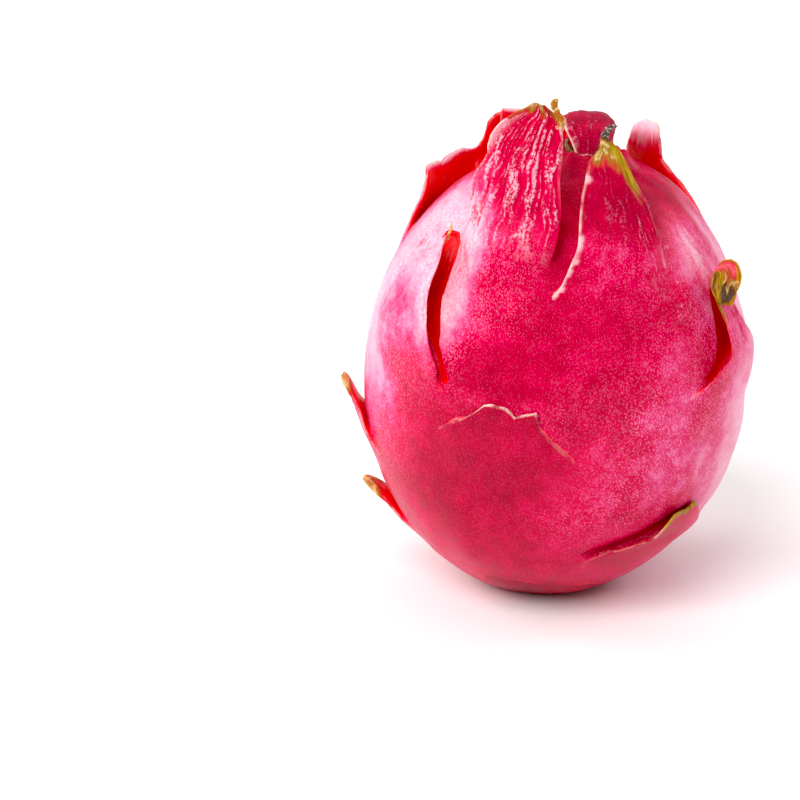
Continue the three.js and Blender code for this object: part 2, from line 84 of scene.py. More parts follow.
SCALES = [
    # front_left's paler tone is partly painted highlight.
    dict(name="front_left", at=-34,
         spine=[(38.7, 25.5), (37.4, 30), (36.3, 35), (34, 45), (31.5, 54), (28, 63), (25.5, 67.5)],
         outline=[(0, -15, 17), (0.2, -12, 16), (0.44, -9.6, 14.9), (0.66, -8.3, 12.2),
                  (0.77, -7.2, 11), (0.88, -4.7, 9.2), (0.94, -2.4, 8), (1, 0, 3)],
         wave=0.6, waves=3, sink=[(0, 3, 3), (0.25, 2.6, 0.8), (0.42, 1.6, 0), (0.56, 0, 0)],
         ridge=0.5, ridge_gap=1.05, grid=(92, 84), dry=(0.94, 0.5), rolled=0.9, tone=0.3, fibrous=1,
         cream=[(0, 0, 0), (0.5, 0, 0), (0.7, 0.6, 0.2), (1, 1, 0.5)],
         horn=dict(path=[(8, -4.4, -0.4), (8, -2.6, 0.3), (6.2, -0.8, 0.8), (4.8, 0.9, 0.9),
                         (5.4, 1.8, 1)], radius=0.8, dry=0.34)),
    dict(name="front_centre", at=18,
         spine=[(40.4, 21.5), (39.6, 25), (38.1, 30), (34.6, 40), (30.5, 49), (26, 57), (22.2, 61.3)],
         outline=[(0, -18.5, 18), (0.15, -17.2, 16.4), (0.21, -16, 15), (0.32, -13.6, 12.8),
                  (0.45, -11.5, 9.9), (0.57, -11.2, 7.4), (0.67, -10.8, 5.2), (0.76, -9.9, 3),
                  (0.86, -9, 0.6), (0.95, -6.3, -1.5), (1, -5, -3)],
         lift=(0.4, 0), wave=0.5,
         sink=[(0, 3, 3.4), (0.1, 1.8, 3.2), (0.18, 0.2, 2.8), (0.52, 0, 1.9), (0.66, 0, 0)],
         ridge=0.16, ridge_gap=1.7, grid=(80, 76), dry=(0.8, 0.6), olive=(2, 0.7), tone=0.05,
         fibrous=0.3, strip=2.6, pale_margin=(-1, 0, 1.4),
         cream=[(0, 0, 0), (0.15, 0.6, 0), (0.3, 0.5, 0), (0.5, 0.8, 0), (0.7, 0.4, 0), (1, 0.3, 0)],
         horn=dict(path=[(-4.4, -2.5, -0.5), (-4.5, 1, 0.2), (-3.5, 2.8, 0.6), (-1.8, 3.7, 1.2)],
                   radius=0.95, dry=0.95)),
    dict(name="back_left", at=-110,
         spine=[(39.4, 19.5), (40.5, 25.2), (39.5, 29.1), (37.7, 33.6), (36.9, 37), (36.7, 42),
                (36.2, 47.4)],
         outline=[(0, -16, 11), (0.3, -18, 12), (0.7, -19, 12), (0.9, -19.5, 11.4), (1, -19, 10.5)],
         torn=[(-1, 0.2), (-0.5, 2.2), (-0.05, 3.6), (0.1, 4.6), (0.25, 4), (1, 3.2)],
         wave=0.4, grid=(58, 38), bloom=(2.6, 2.2)),
    dict(name="back_outer", at=-160,
         spine=[(32.5, 32), (37, 41), (35.5, 48), (33, 54.5)],
         outline=[(0, -14, 15), (0.5, -12, 16), (0.8, -7, 14.5), (0.94, -2, 13), (1, 3, 11.5)],
         torn=[(-1, 0), (1, 0.6)], wave=0.5, waves=1, grid=(40, 32)),
    dict(name="back_inner", at=-158,
         spine=[(29, 36), (32, 45), (31, 51), (29.5, 55.8)],
         outline=[(0, -12, 9), (0.6, -10, 10.5), (0.85, -5, 10.8), (0.95, -1, 11.2), (1, 2.5, 11)],
         wave=0.5, waves=1, grid=(36, 28), bloom=(1.2, 1.2)),
    dict(name="over_crown", at=180,
         spine=[(18.5, 40), (21, 52), (16, 58.5), (8, 60.8), (0.5, 59.4), (-7.2, 54.2)],
         outline=[(0, -12, 8), (0.25, -10, 5.4), (0.45, -10.5, 7), (0.6, -12, 8.6), (0.7, -11, 8.4),
                  (0.8, -9.4, 7.2), (0.9, -7, 5), (1, -3.4, 2.8)],
         lift=(-7, -1.6), ridge=0.16, ridge_gap=1.6, grid=(48, 62), tone=-0.3, fibrous=0.45,
         pale_margin=(1, 0.4, 2.4)),
    dict(name="back_right", at=140,
         spine=[(31, 33), (32.5, 41), (27.5, 48), (22.5, 53), (19.5, 56.5), (19.3, 59.5)],
         outline=[(0, -21, 12), (0.15, -18.5, 11), (0.22, -13, 10.4), (0.29, -8.8, 10), (0.4, -6.4, 9.4),
                  (0.53, -4.4, 8.4), (0.63, -3.2, 7.4), (0.76, -4.8, 5.2), (0.84, -6, 3.8),
                  (0.91, -6.9, 2.6), (0.96, -6.6, 1.4), (1, -5.4, -1)],
         wave=0.3, ridge_gap=2.2, grid=(46, 58), bloom=(11, 17), fibrous=0.5),
    dict(name="left_flank", at=-62,
         spine=[(43.9, -6), (45.6, 4), (46.4, 11), (45.8, 18), (43.5, 26), (37.5, 35.5)],
         outline=[(0, -20, 20), (0.3, -16, 21), (0.5, -11, 16.7), (0.7, -5, 13), (0.85, 0, 10.9),
                  (0.95, 4, 8.2), (1, 6, 7.2)],
         lift=(-1.4, 1), sink=[(0, 2, 2), (0.25, 2, 0.4), (0.4, 1.6, 0), (0.8, 0.6, 0), (1, 0, 0)],
         ridge=0.16, ridge_gap=1.8, grid=(56, 60), fibrous=0.5,
         cream=[(0, 0, 0), (0.9, 0, 0), (1, 0.3, 0.3)],
         horn=dict(path=[(6.6, -1.5, -0.3), (6.7, 0.8, 0.1), (5.6, 3.2, 0.5)], radius=0.4, dry=0.5)),
    dict(name="right_flank", at=62,
         spine=[(44.1, -4), (45.5, 5), (46.1, 11), (45.6, 18), (43.4, 24), (41.2, 29), (39.4, 32),
                (39.1, 34.3), (40, 35.8), (41.5, 34.8), (42, 31.6), (41.5, 28.6)],
         outline=[(0, -18, 20), (0.14, -18.5, 21), (0.21, -18.8, 20.5), (0.29, -16, 19.5),
                  (0.36, -10.6, 17.5), (0.42, -6.8, 14.5), (0.49, -6, 10.5), (0.55, -6, 6.5),
                  (0.62, -6.8, 3.4), (0.68, -7.8, 1.6), (0.74, -8, 0.4), (0.79, -7.6, -1),
                  (0.84, -7.8, -2), (0.88, -8.8, -3.6), (0.92, -9.2, -4.6), (0.96, -8.8, -5.2),
                  (1, -7.4, -5.2)],
         lift=(0.8, -1.6),
         sink=[(0, 2, 2), (0.19, 1.7, 1.6), (0.25, 1, 1), (0.3, 0.3, 0.8), (0.42, 0, 0)],
         ridge=0.12, ridge_gap=2.0, grid=(48, 92), dry=(0.84, 0.86), olive=(0.56, 0.52), fibrous=0.3,
         crumple=0.45, crumpled_from=0.62, strip=0.7, inner=0.7,
         cream=[(0, 0, 0), (0.25, 0.2, 0), (0.4, 0, 0), (1, 0, 0)]),
    # lower_front's deeper tone is partly its own crimson and partly painted shade.
    dict(name="lower_front", at=-16,
         spine=[(40.6, -21), (43.9, -13), (45.8, -5), (46.9, 5)],
         outline=[(0, -24, 26), (0.3, -22, 24), (0.5, -18, 19.5), (0.6, -15, 16), (0.8, -9.5, 10.8),
                  (0.9, -6.5, 9.3), (1, -4, 8.2)],
         torn=[(-1, 1.4), (-0.7, 0.6), (-0.1, 0.6), (0.25, 2.2), (0.6, 1.3), (1, 0.4)],
         lift=(-0.6, -0.6), ridge=0.04, ridge_gap=3.5, grid=(66, 44), tone=-0.45, toned_from=0.6,
         fibrous=0.05,
         sink=[(0, 2, 2), (0.3, 1.6, 1), (0.42, 0.9, 0.2), (0.6, 0.2, 0), (0.7, 0, 0)],
         cream=[(0, 0, 0), (0.42, 0, 0), (0.6, 0.1, 0.1), (0.9, 0.4, 0.15), (0.97, 0.7, 0.3),
                (1, 0.9, 0.7)]),
    dict(name="lower_right", at=60,
         spine=[(28, -41), (32.9, -36), (37.1, -31), (40.4, -26), (42.8, -21), (43.6, -18.3)],
         outline=[(0, -18, 18), (0.25, -23, 18), (0.42, -26.8, 17.5), (0.5, -26.4, 16.5),
                  (0.56, -23.4, 15), (0.62, -20.4, 13), (0.68, -17.6, 10), (0.75, -15.6, 8),
                  (0.8, -15, 6), (0.9, -14.2, 3), (1, -13.2, 0.5)],
         torn=[(-1, 1.2), (-0.1, 1.9), (0.2, 0), (1, 4)],
         lift=(1.6, 0.2), ridge=0.06, ridge_gap=2.6, grid=(56, 42), olive=(0.76, 0.96), fibrous=0.15,
         sink=[(0, 2, 2), (0.3, 1, 1), (0.45, 0, 0)], wave=0.3, strip=1.1, tone=-0.2, inner=0.15,
         cream=[(0, 0, 0), (0.5, 0.1, 0), (0.75, 0.4, 0.1), (1, 0.6, 0.3)]),
    # base_front's deeper tone is painted shade, as its face turns down to the floor.
    dict(name="base_front", at=8,
         spine=[(14.3, -50.3), (21.2, -47.6), (27.4, -43.4)],
         outline=[(0, -10, 12), (0.5, -14, 14), (0.85, -14.5, 14.5), (1, -11, 11)], tone=-0.3,
         ridge=0.06, ridge_gap=2.5, grid=(40, 24), cream=[(0, 0, 0), (1, 0, 0)], fibrous=0.1),
]

# Cuts in the skin beside three of the scales. Each row has the two sides of the cut, as degrees
# and height. red: how much of the red flesh a cut shows. depth: of the cut, in mm.
SLOTS = [
    dict(red=0.9, depth=1.7, rows=[
        (-57, 35.6, -54.6, 35.6), (-60, 34.9, -51.6, 34.9), (-60, 34, -48.6, 34), (-58, 31, -47.4, 31),
        (-57, 28.3, -47.1, 28.3), (-56, 26.5, -47, 26.5), (-55, 24.2, -45.2, 24.2),
        (-55, 22.4, -44.4, 22.4), (-51, 19.8, -42.9, 19.8), (-48, 16.3, -40.8, 16.3),
        (-43.4, 13.3, -39.8, 13.3), (-40.2, 11, -37.6, 11), (-37.2, 8, -35.8, 8), (-35, 5, -34.5, 5)]),
    dict(red=0.8, depth=1.7, rows=[
        (55.8, 30.6, 60, 30.6), (54.4, 27.2, 62, 27.2), (54.3, 23.2, 66, 23.2), (54.1, 19.6, 68, 19.6),
        (53.3, 17.5, 67, 17.5), (52, 14.9, 60, 14.9), (50.6, 12.8, 54.6, 12.8),
        (48.9, 10.8, 49.6, 10.8)]),
    dict(red=0, depth=1, rows=[
        (16, -31.9, 16, -31.5), (25, -30.5, 26, -28.8), (32, -28.5, 33, -26.2), (38.4, -26, 39, -23.4),
        (42, -24, 44, -21.2), (49, -22, 50, -19.9), (54, -21.3, 54, -20.2)]),
]
SLOTTED_SCALES = ("front_left", "front_centre", "lower_front")  # their roots run under the cuts

# Where the skin is paler (+) or deeper (-): degrees, height, half width, half height, strength.
# The pale patches at the upper left, on the right shoulder and along the right flank are partly the
# skin's pale bloom and partly painted highlight and painted reflection of the lights. The deep ones
# above, beside and below lower_front, at the lower left, between the crown scales and at the bottom
# are painted shade.
TONE_AND_PAINTED_LIGHT_PATCHES = [
    (-72, 40, 17, 12, 0.85), (-70, 24, 14, 13, 0.75), (-50, 38, 9, 9, 1.05), (-43, 26, 6, 11, 1),
    (-86, 8, 12, 20, 0.95), (-66, 2, 9, 12, 0.4), (-37, 18, 7, 8, 0.4),
    (54, 37, 8, 9, 0.8), (63, 2, 12, 26, 0.5), (26, 3, 3, 3, 0.3), (88, 5, 13, 46, 0.95),
    (34, -8, 14, 12, 0.2), (72, -18, 10, 12, 0.35),
    (-17, 7.4, 12, 2, -0.3), (-20, 13, 12, 6, -0.45), (-12, -10, 14, 9, -0.4), (-27, -20, 18, 20, -0.45),
    (-6, 34, 6, 12, -0.3), (14, 24, 16, 12, -0.2), (8, -48, 18, 5, -0.5), (4, -36, 20, 8, -0.25),
    (128, 30, 14, 16, 0.7), (165, 0, 12, 22, -0.3), (-140, 12, 16, 18, 0.55), (-168, -26, 14, 12, 0.4),
    (110, -25, 16, 14, 0.35), (-95, -22, 14, 16, -0.35),
]

# Long low folds (+) and creases (-) in the skin: degrees and height at each end, width, height.
FOLDS = [
    ((37, 18), (46, -14), 4.5, 0.9), ((-8.5, 26), (-7.5, 8), 1.3, -0.4), ((-30, -22), (-26, -40), 6, 0.6),
    ((10, -20), (12, -42), 7, 0.5), ((120, 20), (118, -18), 6, 0.7), ((-120, 0), (-122, -34), 6, 0.7),
    ((168, 8), (160, -30), 7, 0.7), ((84, -2), (82, -26), 6, 0.6), ((22, -17.4), (39, -13), 0.9, -0.3),
    ((14, -9.6), (19, -9.4), 0.7, -0.35), ((30, -21), (44, -15.5), 1.2, -0.3),
    ((86, 46), (86, 20), 10, -1.1), ((90, 6), (90, -16), 9, -0.5),
]

# Bands of narrow pleats: degrees and height at each end, half width of the band, pleat gap, height.
PLEATS = [
    ((26, 47), (44, 24), 7, 2.1, 0.3), ((-52, 46), (-34, 22), 7, 2.2, 0.12),
    ((-66, 34), (-74, 16), 6, 2.2, 0.16), ((52, 44), (55, 30), 5, 2.0, 0.2),
    ((58, 38), (66, 20), 5, 1.6, 0.2),
]

# Rings of scales round the back, which a seeded draw varies. HIDDEN_LIFT: part of a scale's length,
# and how far it stands off the skin. HIDDEN_OUTLINE: part of its length, and of its half width.
SEED = 11
RINGS = [
    dict(height=-46, length=13, width=11, start=118, step=52, count=4),
    dict(height=-29, length=24, width=15, start=129, step=47, count=4),
    dict(height=-5, length=34, width=15, start=134, step=46, count=3),
]
RING_SWAY = 5
HIDDEN_LIFT = [(0, -0.8), (0.25, 0.3), (0.5, 1.3), (0.8, 3), (1, 5.5)]
HIDDEN_OUTLINE = [(0, 1), (0.35, 1), (0.7, 0.62), (0.9, 0.28), (1, 0.06)]
HIDDEN_SCALE = dict(wave=0.4, lift=(0.5, 0.5), sink=[(0, 2, 2), (0.3, 1, 1), (0.55, 0, 0)],
                    ridge=0.25, dry=(0.8, 0.6), grid=(26, 30))
HIDDEN_SIZE = (0.9, 0.2)  # the least, and how much more a draw adds at most
HIDDEN_REACH = (0.8, 0.4)
HIDDEN_WAVES = (1.5, 1)

# ---- the fruit's own frame ------------------------------------------------------------
HALF_HEIGHT = math.hypot(BODY_RADIUS * math.sin(LEAN), BODY_HALF_LENGTH * math.cos(LEAN))
CENTRE_HEIGHT = HALF_HEIGHT - FLAT_CUT
FLAT_OFFSET = (CENTRE_HEIGHT * math.sin(LEAN) * math.cos(LEAN)
               * (BODY_HALF_LENGTH ** 2 - BODY_RADIUS ** 2) / HALF_HEIGHT ** 2)
STAND = Matrix.Translation((FLAT_OFFSET, 0, CENTRE_HEIGHT)) @ Matrix.Rotation(LEAN, 4, "Y")


def ease(low, high, x):
    """0 below low, 1 above high and a smooth step between."""
    t = np.clip((np.asarray(x, float) - low) / (high - low), 0, 1)
    return t * t * (3 - 2 * t)


DRAW_FACTOR = 48271
DRAW_MODULUS = 2147483647


def seeded(seed):
    """The same draws as the solids use."""
    state = seed
    while True:
        state = (state * DRAW_FACTOR) % DRAW_MODULUS
        yield state / DRAW_MODULUS


def grain(points, scale):
    """Smooth noise from about -1 to 1 at each point; scale is the size of a lump on each axis."""
    stretched = np.asarray(points, float) / np.asarray(scale, float)
    return np.array([noise.noise(Vector(p)) for p in stretched])


def layered(points, layers):
    """A sum of noises. Each layer has its strength, its shift and the size of its lumps."""
    return sum(strength * grain(points + shift, size) for strength, shift, size in layers)


CREST_SHARPNESS = 5


def ridged(points, scale):
    """Narrow winding crests, from about -1 in the valleys to 1 on the crests."""
    return np.clip(1 - CREST_SHARPNESS * np.abs(grain(points, scale)), -1, 1)


def skin_radius(height):
    return BODY_RADIUS * np.sqrt(np.maximum(0, 1 - (np.asarray(height) / BODY_HALF_LENGTH) ** 2))


# ---- shapes of the scales -------------------------------------------------------------
SPINE_STEPS = 40  # between two points of a spine
SPINE_SAMPLES = 160


def with_ends(keys):
    """Adds a point before the first and one after the last, for a smooth curve through all."""
    return [2 * keys[0] - keys[1], *keys, 2 * keys[-1] - keys[-2]]


def smooth_between(a, b, c, d, t):
    """A point from b, where t is 0, to c, where t is 1, on a smooth curve through four points."""
    return 0.5 * (2 * b + (c - a) * t + (2 * a - 5 * b + 4 * c - d) * t * t
                  + (3 * b - a - 3 * c + d) * t ** 3)


def spine_curve(points):
    """Places and outward normals at equal steps along a smooth curve through the points."""
    keys = with_ends([np.array(p, float) for p in points])
    dense = [smooth_between(*four, t) for four in zip(keys, keys[1:], keys[2:], keys[3:])
             for t in np.arange(SPINE_STEPS) / SPINE_STEPS]
    dense = np.array([*dense, keys[-2]])
    walked = np.r_[0, np.cumsum(np.linalg.norm(np.diff(dense, axis=0), axis=1))]
    stations = np.linspace(0, walked[-1], SPINE_SAMPLES + 1)
    places = np.stack([np.interp(stations, walked, dense[:, k]) for k in (0, 1)], 1)
    heading = np.gradient(places, axis=0)
    heading /= np.linalg.norm(heading, axis=1, keepdims=True)
    return places, np.stack([heading[:, 1], -heading[:, 0]], 1), walked[-1]


def outline_at(rows, along, column):
    """Smooth value of one column of an outline, with no overshoot between its rows."""
    rows = np.array(rows, float)
    x, y = rows[:, 0], rows[:, column]
    slope = np.diff(y) / np.diff(x)
    product = slope[:-1] * slope[1:]
    total = slope[:-1] + slope[1:]
    inner = np.where(product > 0, 2 * product / np.where(total == 0, 1, total), 0)
    bend = np.r_[slope[0], inner, slope[-1]]
    i = np.clip(np.searchsorted(x, along, side="right") - 1, 0, len(x) - 2)
    span = x[i + 1] - x[i]
    t = np.clip((along - x[i]) / span, 0, 1)
    return ((2 * t ** 3 - 3 * t ** 2 + 1) * y[i] + (t ** 3 - 2 * t ** 2 + t) * span * bend[i]
            + (3 * t ** 2 - 2 * t ** 3) * y[i + 1] + (t ** 3 - t ** 2) * span * bend[i + 1])


def rows_at(rows, along, column):
    """Straight-line reading of one column of a short table."""
    return np.interp(along, [row[0] for row in rows], [row[column] for row in rows])


def by_side(rows, u, v):
    """Reads a table of part of the length, value at the low margin and value at the high one."""
    return np.where(u < 0, rows_at(rows, v, 1), rows_at(rows, v, 2))


def on_spine(scale, along, across, outwards):
    """Points of a scale in the fruit's frame."""
    places, normals, _ = scale["curve"]
    step = along * (len(places) - 1)
    ticks = np.arange(len(places))
    r, z = (np.interp(step, ticks, places[:, k]) for k in (0, 1))
    out_r, out_z = (np.interp(step, ticks, normals[:, k]) for k in (0, 1))
    size = np.hypot(out_r, out_z)
    out_r, out_z = out_r / size, out_z / size
    arc = np.maximum(np.abs(r), TIGHTEST_ARC)
    angle = across / arc
    radial = r + out_r * outwards - arc * (1 - np.cos(angle))
    sideways = arc * np.sin(angle) * (1 + outwards / arc)
    azimuth = math.radians(scale["at"])
    return np.stack([radial * math.sin(azimuth) + sideways * math.cos(azimuth),
                     -radial * math.cos(azimuth) + sideways * math.sin(azimuth),
                     z + out_z * outwards], 1)


# How every scale is made. A name in _ALONG says from which part of the length a thing starts and
# from which it is whole, and one in _IN the same in mm from a margin. Lists of threes are noises,
# for layered().
TEARS_ALONG = (0.5, 1)
FREE_ALONG = (0, 0.3)
WAVE_SLANT = 1.7
SINK_POWER = 3
THINNING_POWERS = (1.2, 2.5)  # along and across
ROUNDED_EDGE = 0.3
ROUNDING_POWERS = (12, 40)  # across and along
LIP_IN = (2.4, 0.6)
LIP_ALONG = (0.68, 0.78)
LIP_HEIGHT = 0.8
NOISE_APART = 31.7  # so that no two scales share their noise
WARP = 0.8
WARP_LUMP = (2.2, 4)  # width in wrinkle gaps, length in mm
WRINKLES = [(0.65, 0, 1, 11), (0.35, 7, 2.4, 18)]  # share, shift, width in gaps, length in mm
WRINKLES_ALONG = (0.15, 0.45)
INNER_WRINKLES = 0.3
# Wrinkles this high show all of their painted crest highlight and valley shade.
FULL_RIDGE = 0.5  # wrinkles this high show all their colour
CRESTS_ALONG = (0.1, 0.4)
CRINKLE = [(0.22, 0, (1.2, 1.8, 1))]
CRINKLE_IN = (3, 0)
CRINKLE_ALONG = (0.2, 0.45)
CRUMPLES = [(1, 0, (2.6, 2.6, 1)), (0.5, 0, (1.1, 1.1, 1))]
CRUMPLE_GROWS = 0.15
FIBRES_ALONG = (0.15, 0.5)
TONE_GROWS = 0.35
DRYING = [(0.1, 0, (3.5, 3.5, 1)), (0.03, 0, (0.9, 1.6, 1))]
DRY_CREEP = 0.05
CREEP_IN = (4, 0.5)
DRY_END = 1.02
DRY_POWER = 1.4
STRIP_GROWS = (-0.02, 0.08)
STRIP_EDGE = (1.2, 0.8)  # in strip widths from the margin
STRIP_RAGGED = (0.5, 6)  # along and across
STREAKS = (0.8, (9, 1.1, 1))
STREAK_GAPS = [(1, 9, (9, 3.6, 1))]
STREAKS_WHOLE = (-0.15, 0.25)
STREAK_CORE = 0.3
BLOOM_STREAKS = (0.3, (1.2, 8, 1))
BLOOM_CORE = -0.2


def blade_points(scale, u, v, inside):
    """A scale's points and what its finish needs, from -1..1 across and 0..1 along."""
    length = scale["curve"][2]
    along = np.maximum(0, v - rows_at(scale["torn"], u, 1) / length * ease(*TEARS_ALONG, v))
    low, high = (outline_at(scale["outline"], v, column) for column in (1, 2))
    across = (low + high) / 2 + u * (high - low) / 2
    to_low, to_high, to_end = across - low, high - across, (1 - v) * length
    to_margin = np.minimum(np.minimum(to_low, to_high), to_end)
    half_width = np.mean([row[2] - row[1] for row in scale["outline"]]) / 2
    own = np.full_like(u, scale["number"] * NOISE_APART)
    place = np.stack([u * half_width, along * length, own], 1)

    gap = scale["ridge_gap"]
    warped = place.copy()
    warped[:, 0] += WARP * gap * grain(place, (gap * WARP_LUMP[0], WARP_LUMP[1], 1))
    crest = sum(share * ridged(warped + shift, (gap * wide, long, 1))
                for share, shift, wide, long in WRINKLES)
    wrinkled = ease(*WRINKLES_ALONG, along) * scale["ridge"] * (INNER_WRINKLES if inside else 1)
    crinkle = layered(place, CRINKLE) * ease(*CRINKLE_IN, to_margin) * ease(*CRINKLE_ALONG, along)
    start, toned = scale["crumpled_from"], scale["toned_from"]
    crumple = scale["crumple"] * layered(place, CRUMPLES) * ease(start, start + CRUMPLE_GROWS, along)
    lip = ease(*LIP_IN, to_low) * ease(*LIP_ALONG, along) * scale["rolled"]
    offset = (turned_out(scale, u, v, along) + wrinkled * crest + crinkle + crumple
              + lip * LIP_HEIGHT + set_back(u, v, along, inside))

    dry, olive = withering(scale, place, along, to_low, to_high, to_end)
    pale = pale_end(scale, place, u, to_end) if inside else (
        lip + pale_margin(scale, place, to_low, to_high))
    return on_spine(scale, along, across, offset), dict(
        red=inside * scale["inner"], rim=np.maximum(to_margin, 0), cream=by_side(scale["cream"], u, v),
        dry=dry, olive=olive, bloom=pale, fibre=warped[:, 0] + own, along=place[:, 1],
        blade=(1 if inside else scale["fibrous"]) * ease(*FIBRES_ALONG, along),
        crest=crest * ease(*CRESTS_ALONG, along) * min(1, scale["ridge"] / FULL_RIDGE),
        tone=scale["tone"] * ease(toned, toned + TONE_GROWS, along))


def turned_out(scale, u, v, along):
    """How far a scale's margins lift, ripple and dive into the body."""
    wave = scale["wave"] * u ** 2 * np.sin(2 * math.pi * scale["waves"] * along + WAVE_SLANT * u)
    lifted = (np.where(u < 0, *scale["lift"]) * u ** 2 + wave) * ease(*FREE_ALONG, along)
    return lifted - by_side(scale["sink"], u, v) * np.abs(u) ** SINK_POWER


def set_back(u, v, along, inside):
    """How far a face lies behind the outer one, which is itself rounded off at its edges."""
    sides, end = ROUNDING_POWERS
    rounded = ROUNDED_EDGE * np.maximum(np.abs(u) ** sides, v ** end)
    to_tip, to_sides = THINNING_POWERS
    thicker = (BLADE_ROOT - BLADE_EDGE) * (1 - along) ** to_tip * (1 - np.abs(u) ** to_sides)
    return rounded - (BLADE_EDGE + thicker) if inside else -rounded


def withering(scale, place, along, to_low, to_high, to_end):
    """How dry a scale is at each point, and where the olive strips along its margins lie."""
    start, most = scale["dry"]
    patch = layered(place, DRYING)
    creep = DRY_CREEP * ease(*CREEP_IN, np.minimum(to_low, to_high))
    dry = most * ease(start, DRY_END, along + patch + creep) ** DRY_POWER
    olive = 0 * dry
    outer, inner = (part * scale["strip"] for part in STRIP_EDGE)
    for begins, to_side in zip(scale["olive"], (to_low, to_high)):
        first, whole = (begins + part for part in STRIP_GROWS)
        reach = ease(first, whole, along + STRIP_RAGGED[0] * patch)
        to_rim = np.minimum(to_side, to_end) + STRIP_RAGGED[1] * patch
        olive = np.maximum(olive, ease(outer, inner, to_rim) * reach)
    return dry, olive


def pale_margin(scale, place, to_low, to_high):
    """Pale streaks that run in from one margin of a scale's outer face."""
    if "pale_margin" not in scale:
        return 0 * to_high
    side, start, width = scale["pale_margin"]
    strength, lump = STREAKS
    streaks = strength * width * grain(place, lump)
    broken = ease(*STREAKS_WHOLE, layered(place, STREAK_GAPS))
    to_side = to_low if side < 0 else to_high
    return broken * ease(width, STREAK_CORE * width, to_side + start + streaks)


def pale_end(scale, place, u, to_end):
    """The pale streaky end of a scale's inner face."""
    if "bloom" not in scale:
        return 0 * u
    low, high = scale["bloom"]
    reach = low + (high - low) * (u + 1) / 2
    strength, lump = BLOOM_STREAKS
    streaks = strength * reach * grain(place, lump)
    return ease(reach, BLOOM_CORE * reach, to_end + streaks)


def hidden_scales():
    draw = seeded(SEED)
    scales = []
    for level, ring in enumerate(RINGS):
        for k in range(ring["count"]):
            at = ring["start"] + k * ring["step"] + RING_SWAY * (2 * next(draw) - 1)
            size = HIDDEN_SIZE[0] + HIDDEN_SIZE[1] * next(draw)
            spine = []
            for t, clear in HIDDEN_LIFT:
                height = ring["height"] + t * ring["length"] * size
                reach = 1 if t < 1 else HIDDEN_REACH[0] + HIDDEN_REACH[1] * next(draw)
                spine.append((float(skin_radius(height)) + clear * reach, height))
            half = ring["width"] * size
            scales.append(dict(name=f"ring_{level}_{k}", at=at, spine=spine, **HIDDEN_SCALE,
                               outline=[(t, -part * half, part * half) for t, part in HIDDEN_OUTLINE],
                               waves=HIDDEN_WAVES[0] + HIDDEN_WAVES[1] * next(draw)))
    return scales


# ---- fields over the whole surface ------------------------------------------------------
SKIN_SHADES = [(0.12, 0, (22, 22, 22))]
SKIN_DEPTH = 0.06
# Painted shade: the skin grows deeper towards the crown, where it lies in shade among the scales.
CROWN_PAINTED_SHADE = 0.45
CROWN_HEIGHT = (39, 48)
FOLD_STARTS = (-0.15, 0.15)
FOLD_ENDS = (1.2, 0.8)
PLEATS_START = (-0.2, 0.1)
PLEATS_END = (1.15, 0.8)
PLEATS_CLOSE = (1.5, -0.5)  # they draw together towards their far end
PLEAT_LENGTH = 12
PLEAT_SHOWS = 0.5


def turn_and_height(points):
    return np.arctan2(points[:, 0], -points[:, 1]), points[:, 2]


def apart(turn, azimuth):
    """Distance round the body, in mm, from a line at an azimuth in degrees."""
    return ((turn - math.radians(azimuth) + math.pi) % (2 * math.pi) - math.pi) * BODY_RADIUS


def paleness_with_painted_light(points):
    """How much paler (+) or deeper (-) than crimson the skin is, with painted highlight
    and painted shade laid in by the patches, and painted shade towards the crown.
    """
    turn, height = turn_and_height(points)
    total = layered(points, SKIN_SHADES) - CROWN_PAINTED_SHADE * ease(*CROWN_HEIGHT, height) - SKIN_DEPTH
    for azimuth, at_height, half_width, half_height, strength in TONE_AND_PAINTED_LIGHT_PATCHES:
        far = (apart(turn, azimuth) / half_width) ** 2 + ((height - at_height) / half_height) ** 2
        total = total + strength * np.exp(-far)
    return np.clip(total, -1, 1)


def along_line(points, start, end):
    """Part of a line's length, and the distance to its side in mm, for points near it."""
    turn, height = turn_and_height(points)
    x, z = apart(turn, start[0]), height - start[1]
    run = math.radians(end[0] - start[0]) * BODY_RADIUS, end[1] - start[1]
    length = math.hypot(*run)
    return (x * run[0] + z * run[1]) / length ** 2, (x * run[1] - z * run[0]) / length, length


def folds_at(points):
    total = np.zeros(len(points))
    for start, end, width, height in FOLDS:
        part, aside, _ = along_line(points, start, end)
        here = np.exp(-(aside / width) ** 2) * ease(*FOLD_STARTS, part) * ease(*FOLD_ENDS, part)
        total += height * here
    return total


def pleats_at(points):
    """Narrow lengthwise pleats: how far they stand up, how much of a crest each point is, and
    how stringy the skin is among them."""
    relief, crest, stringy = (np.zeros(len(points)) for _ in range(3))
    for start, end, width, gap, height in PLEATS:
        part, aside, length = along_line(points, start, end)
        here = np.exp(-(aside / width) ** 4) * ease(*PLEATS_START, part) * ease(*PLEATS_END, part)
        spread = aside * (PLEATS_CLOSE[0] + PLEATS_CLOSE[1] * part)
        ridge = ridged(np.stack([spread, part * length, 0 * part], 1), (gap, PLEAT_LENGTH, 1))
        relief += here * height * ridge
        crest += PLEAT_SHOWS * here * ridge
        stringy += PLEAT_SHOWS * here
    return relief, crest, stringy


# ---- mesh making ------------------------------------------------------------------------
# What the finish needs at each point: how red the flesh is, the distance to the rim, how cream and
# how dry it is, the olive strips, how much of a scale it is, two places for its fibres, how much of
# a wrinkle's crest it is (painted as a highlight on crests and as shade in valleys), how pale the
# skin is (with painted highlight and painted shade in it), and the pale end of an inner face.
NOTES = ("red", "rim", "cream", "dry", "olive", "blade", "fibre", "along", "crest", "pale", "bloom")
FAR_FROM_RIM = 9
TIP = 2.0  # the mark of a dry tip's points


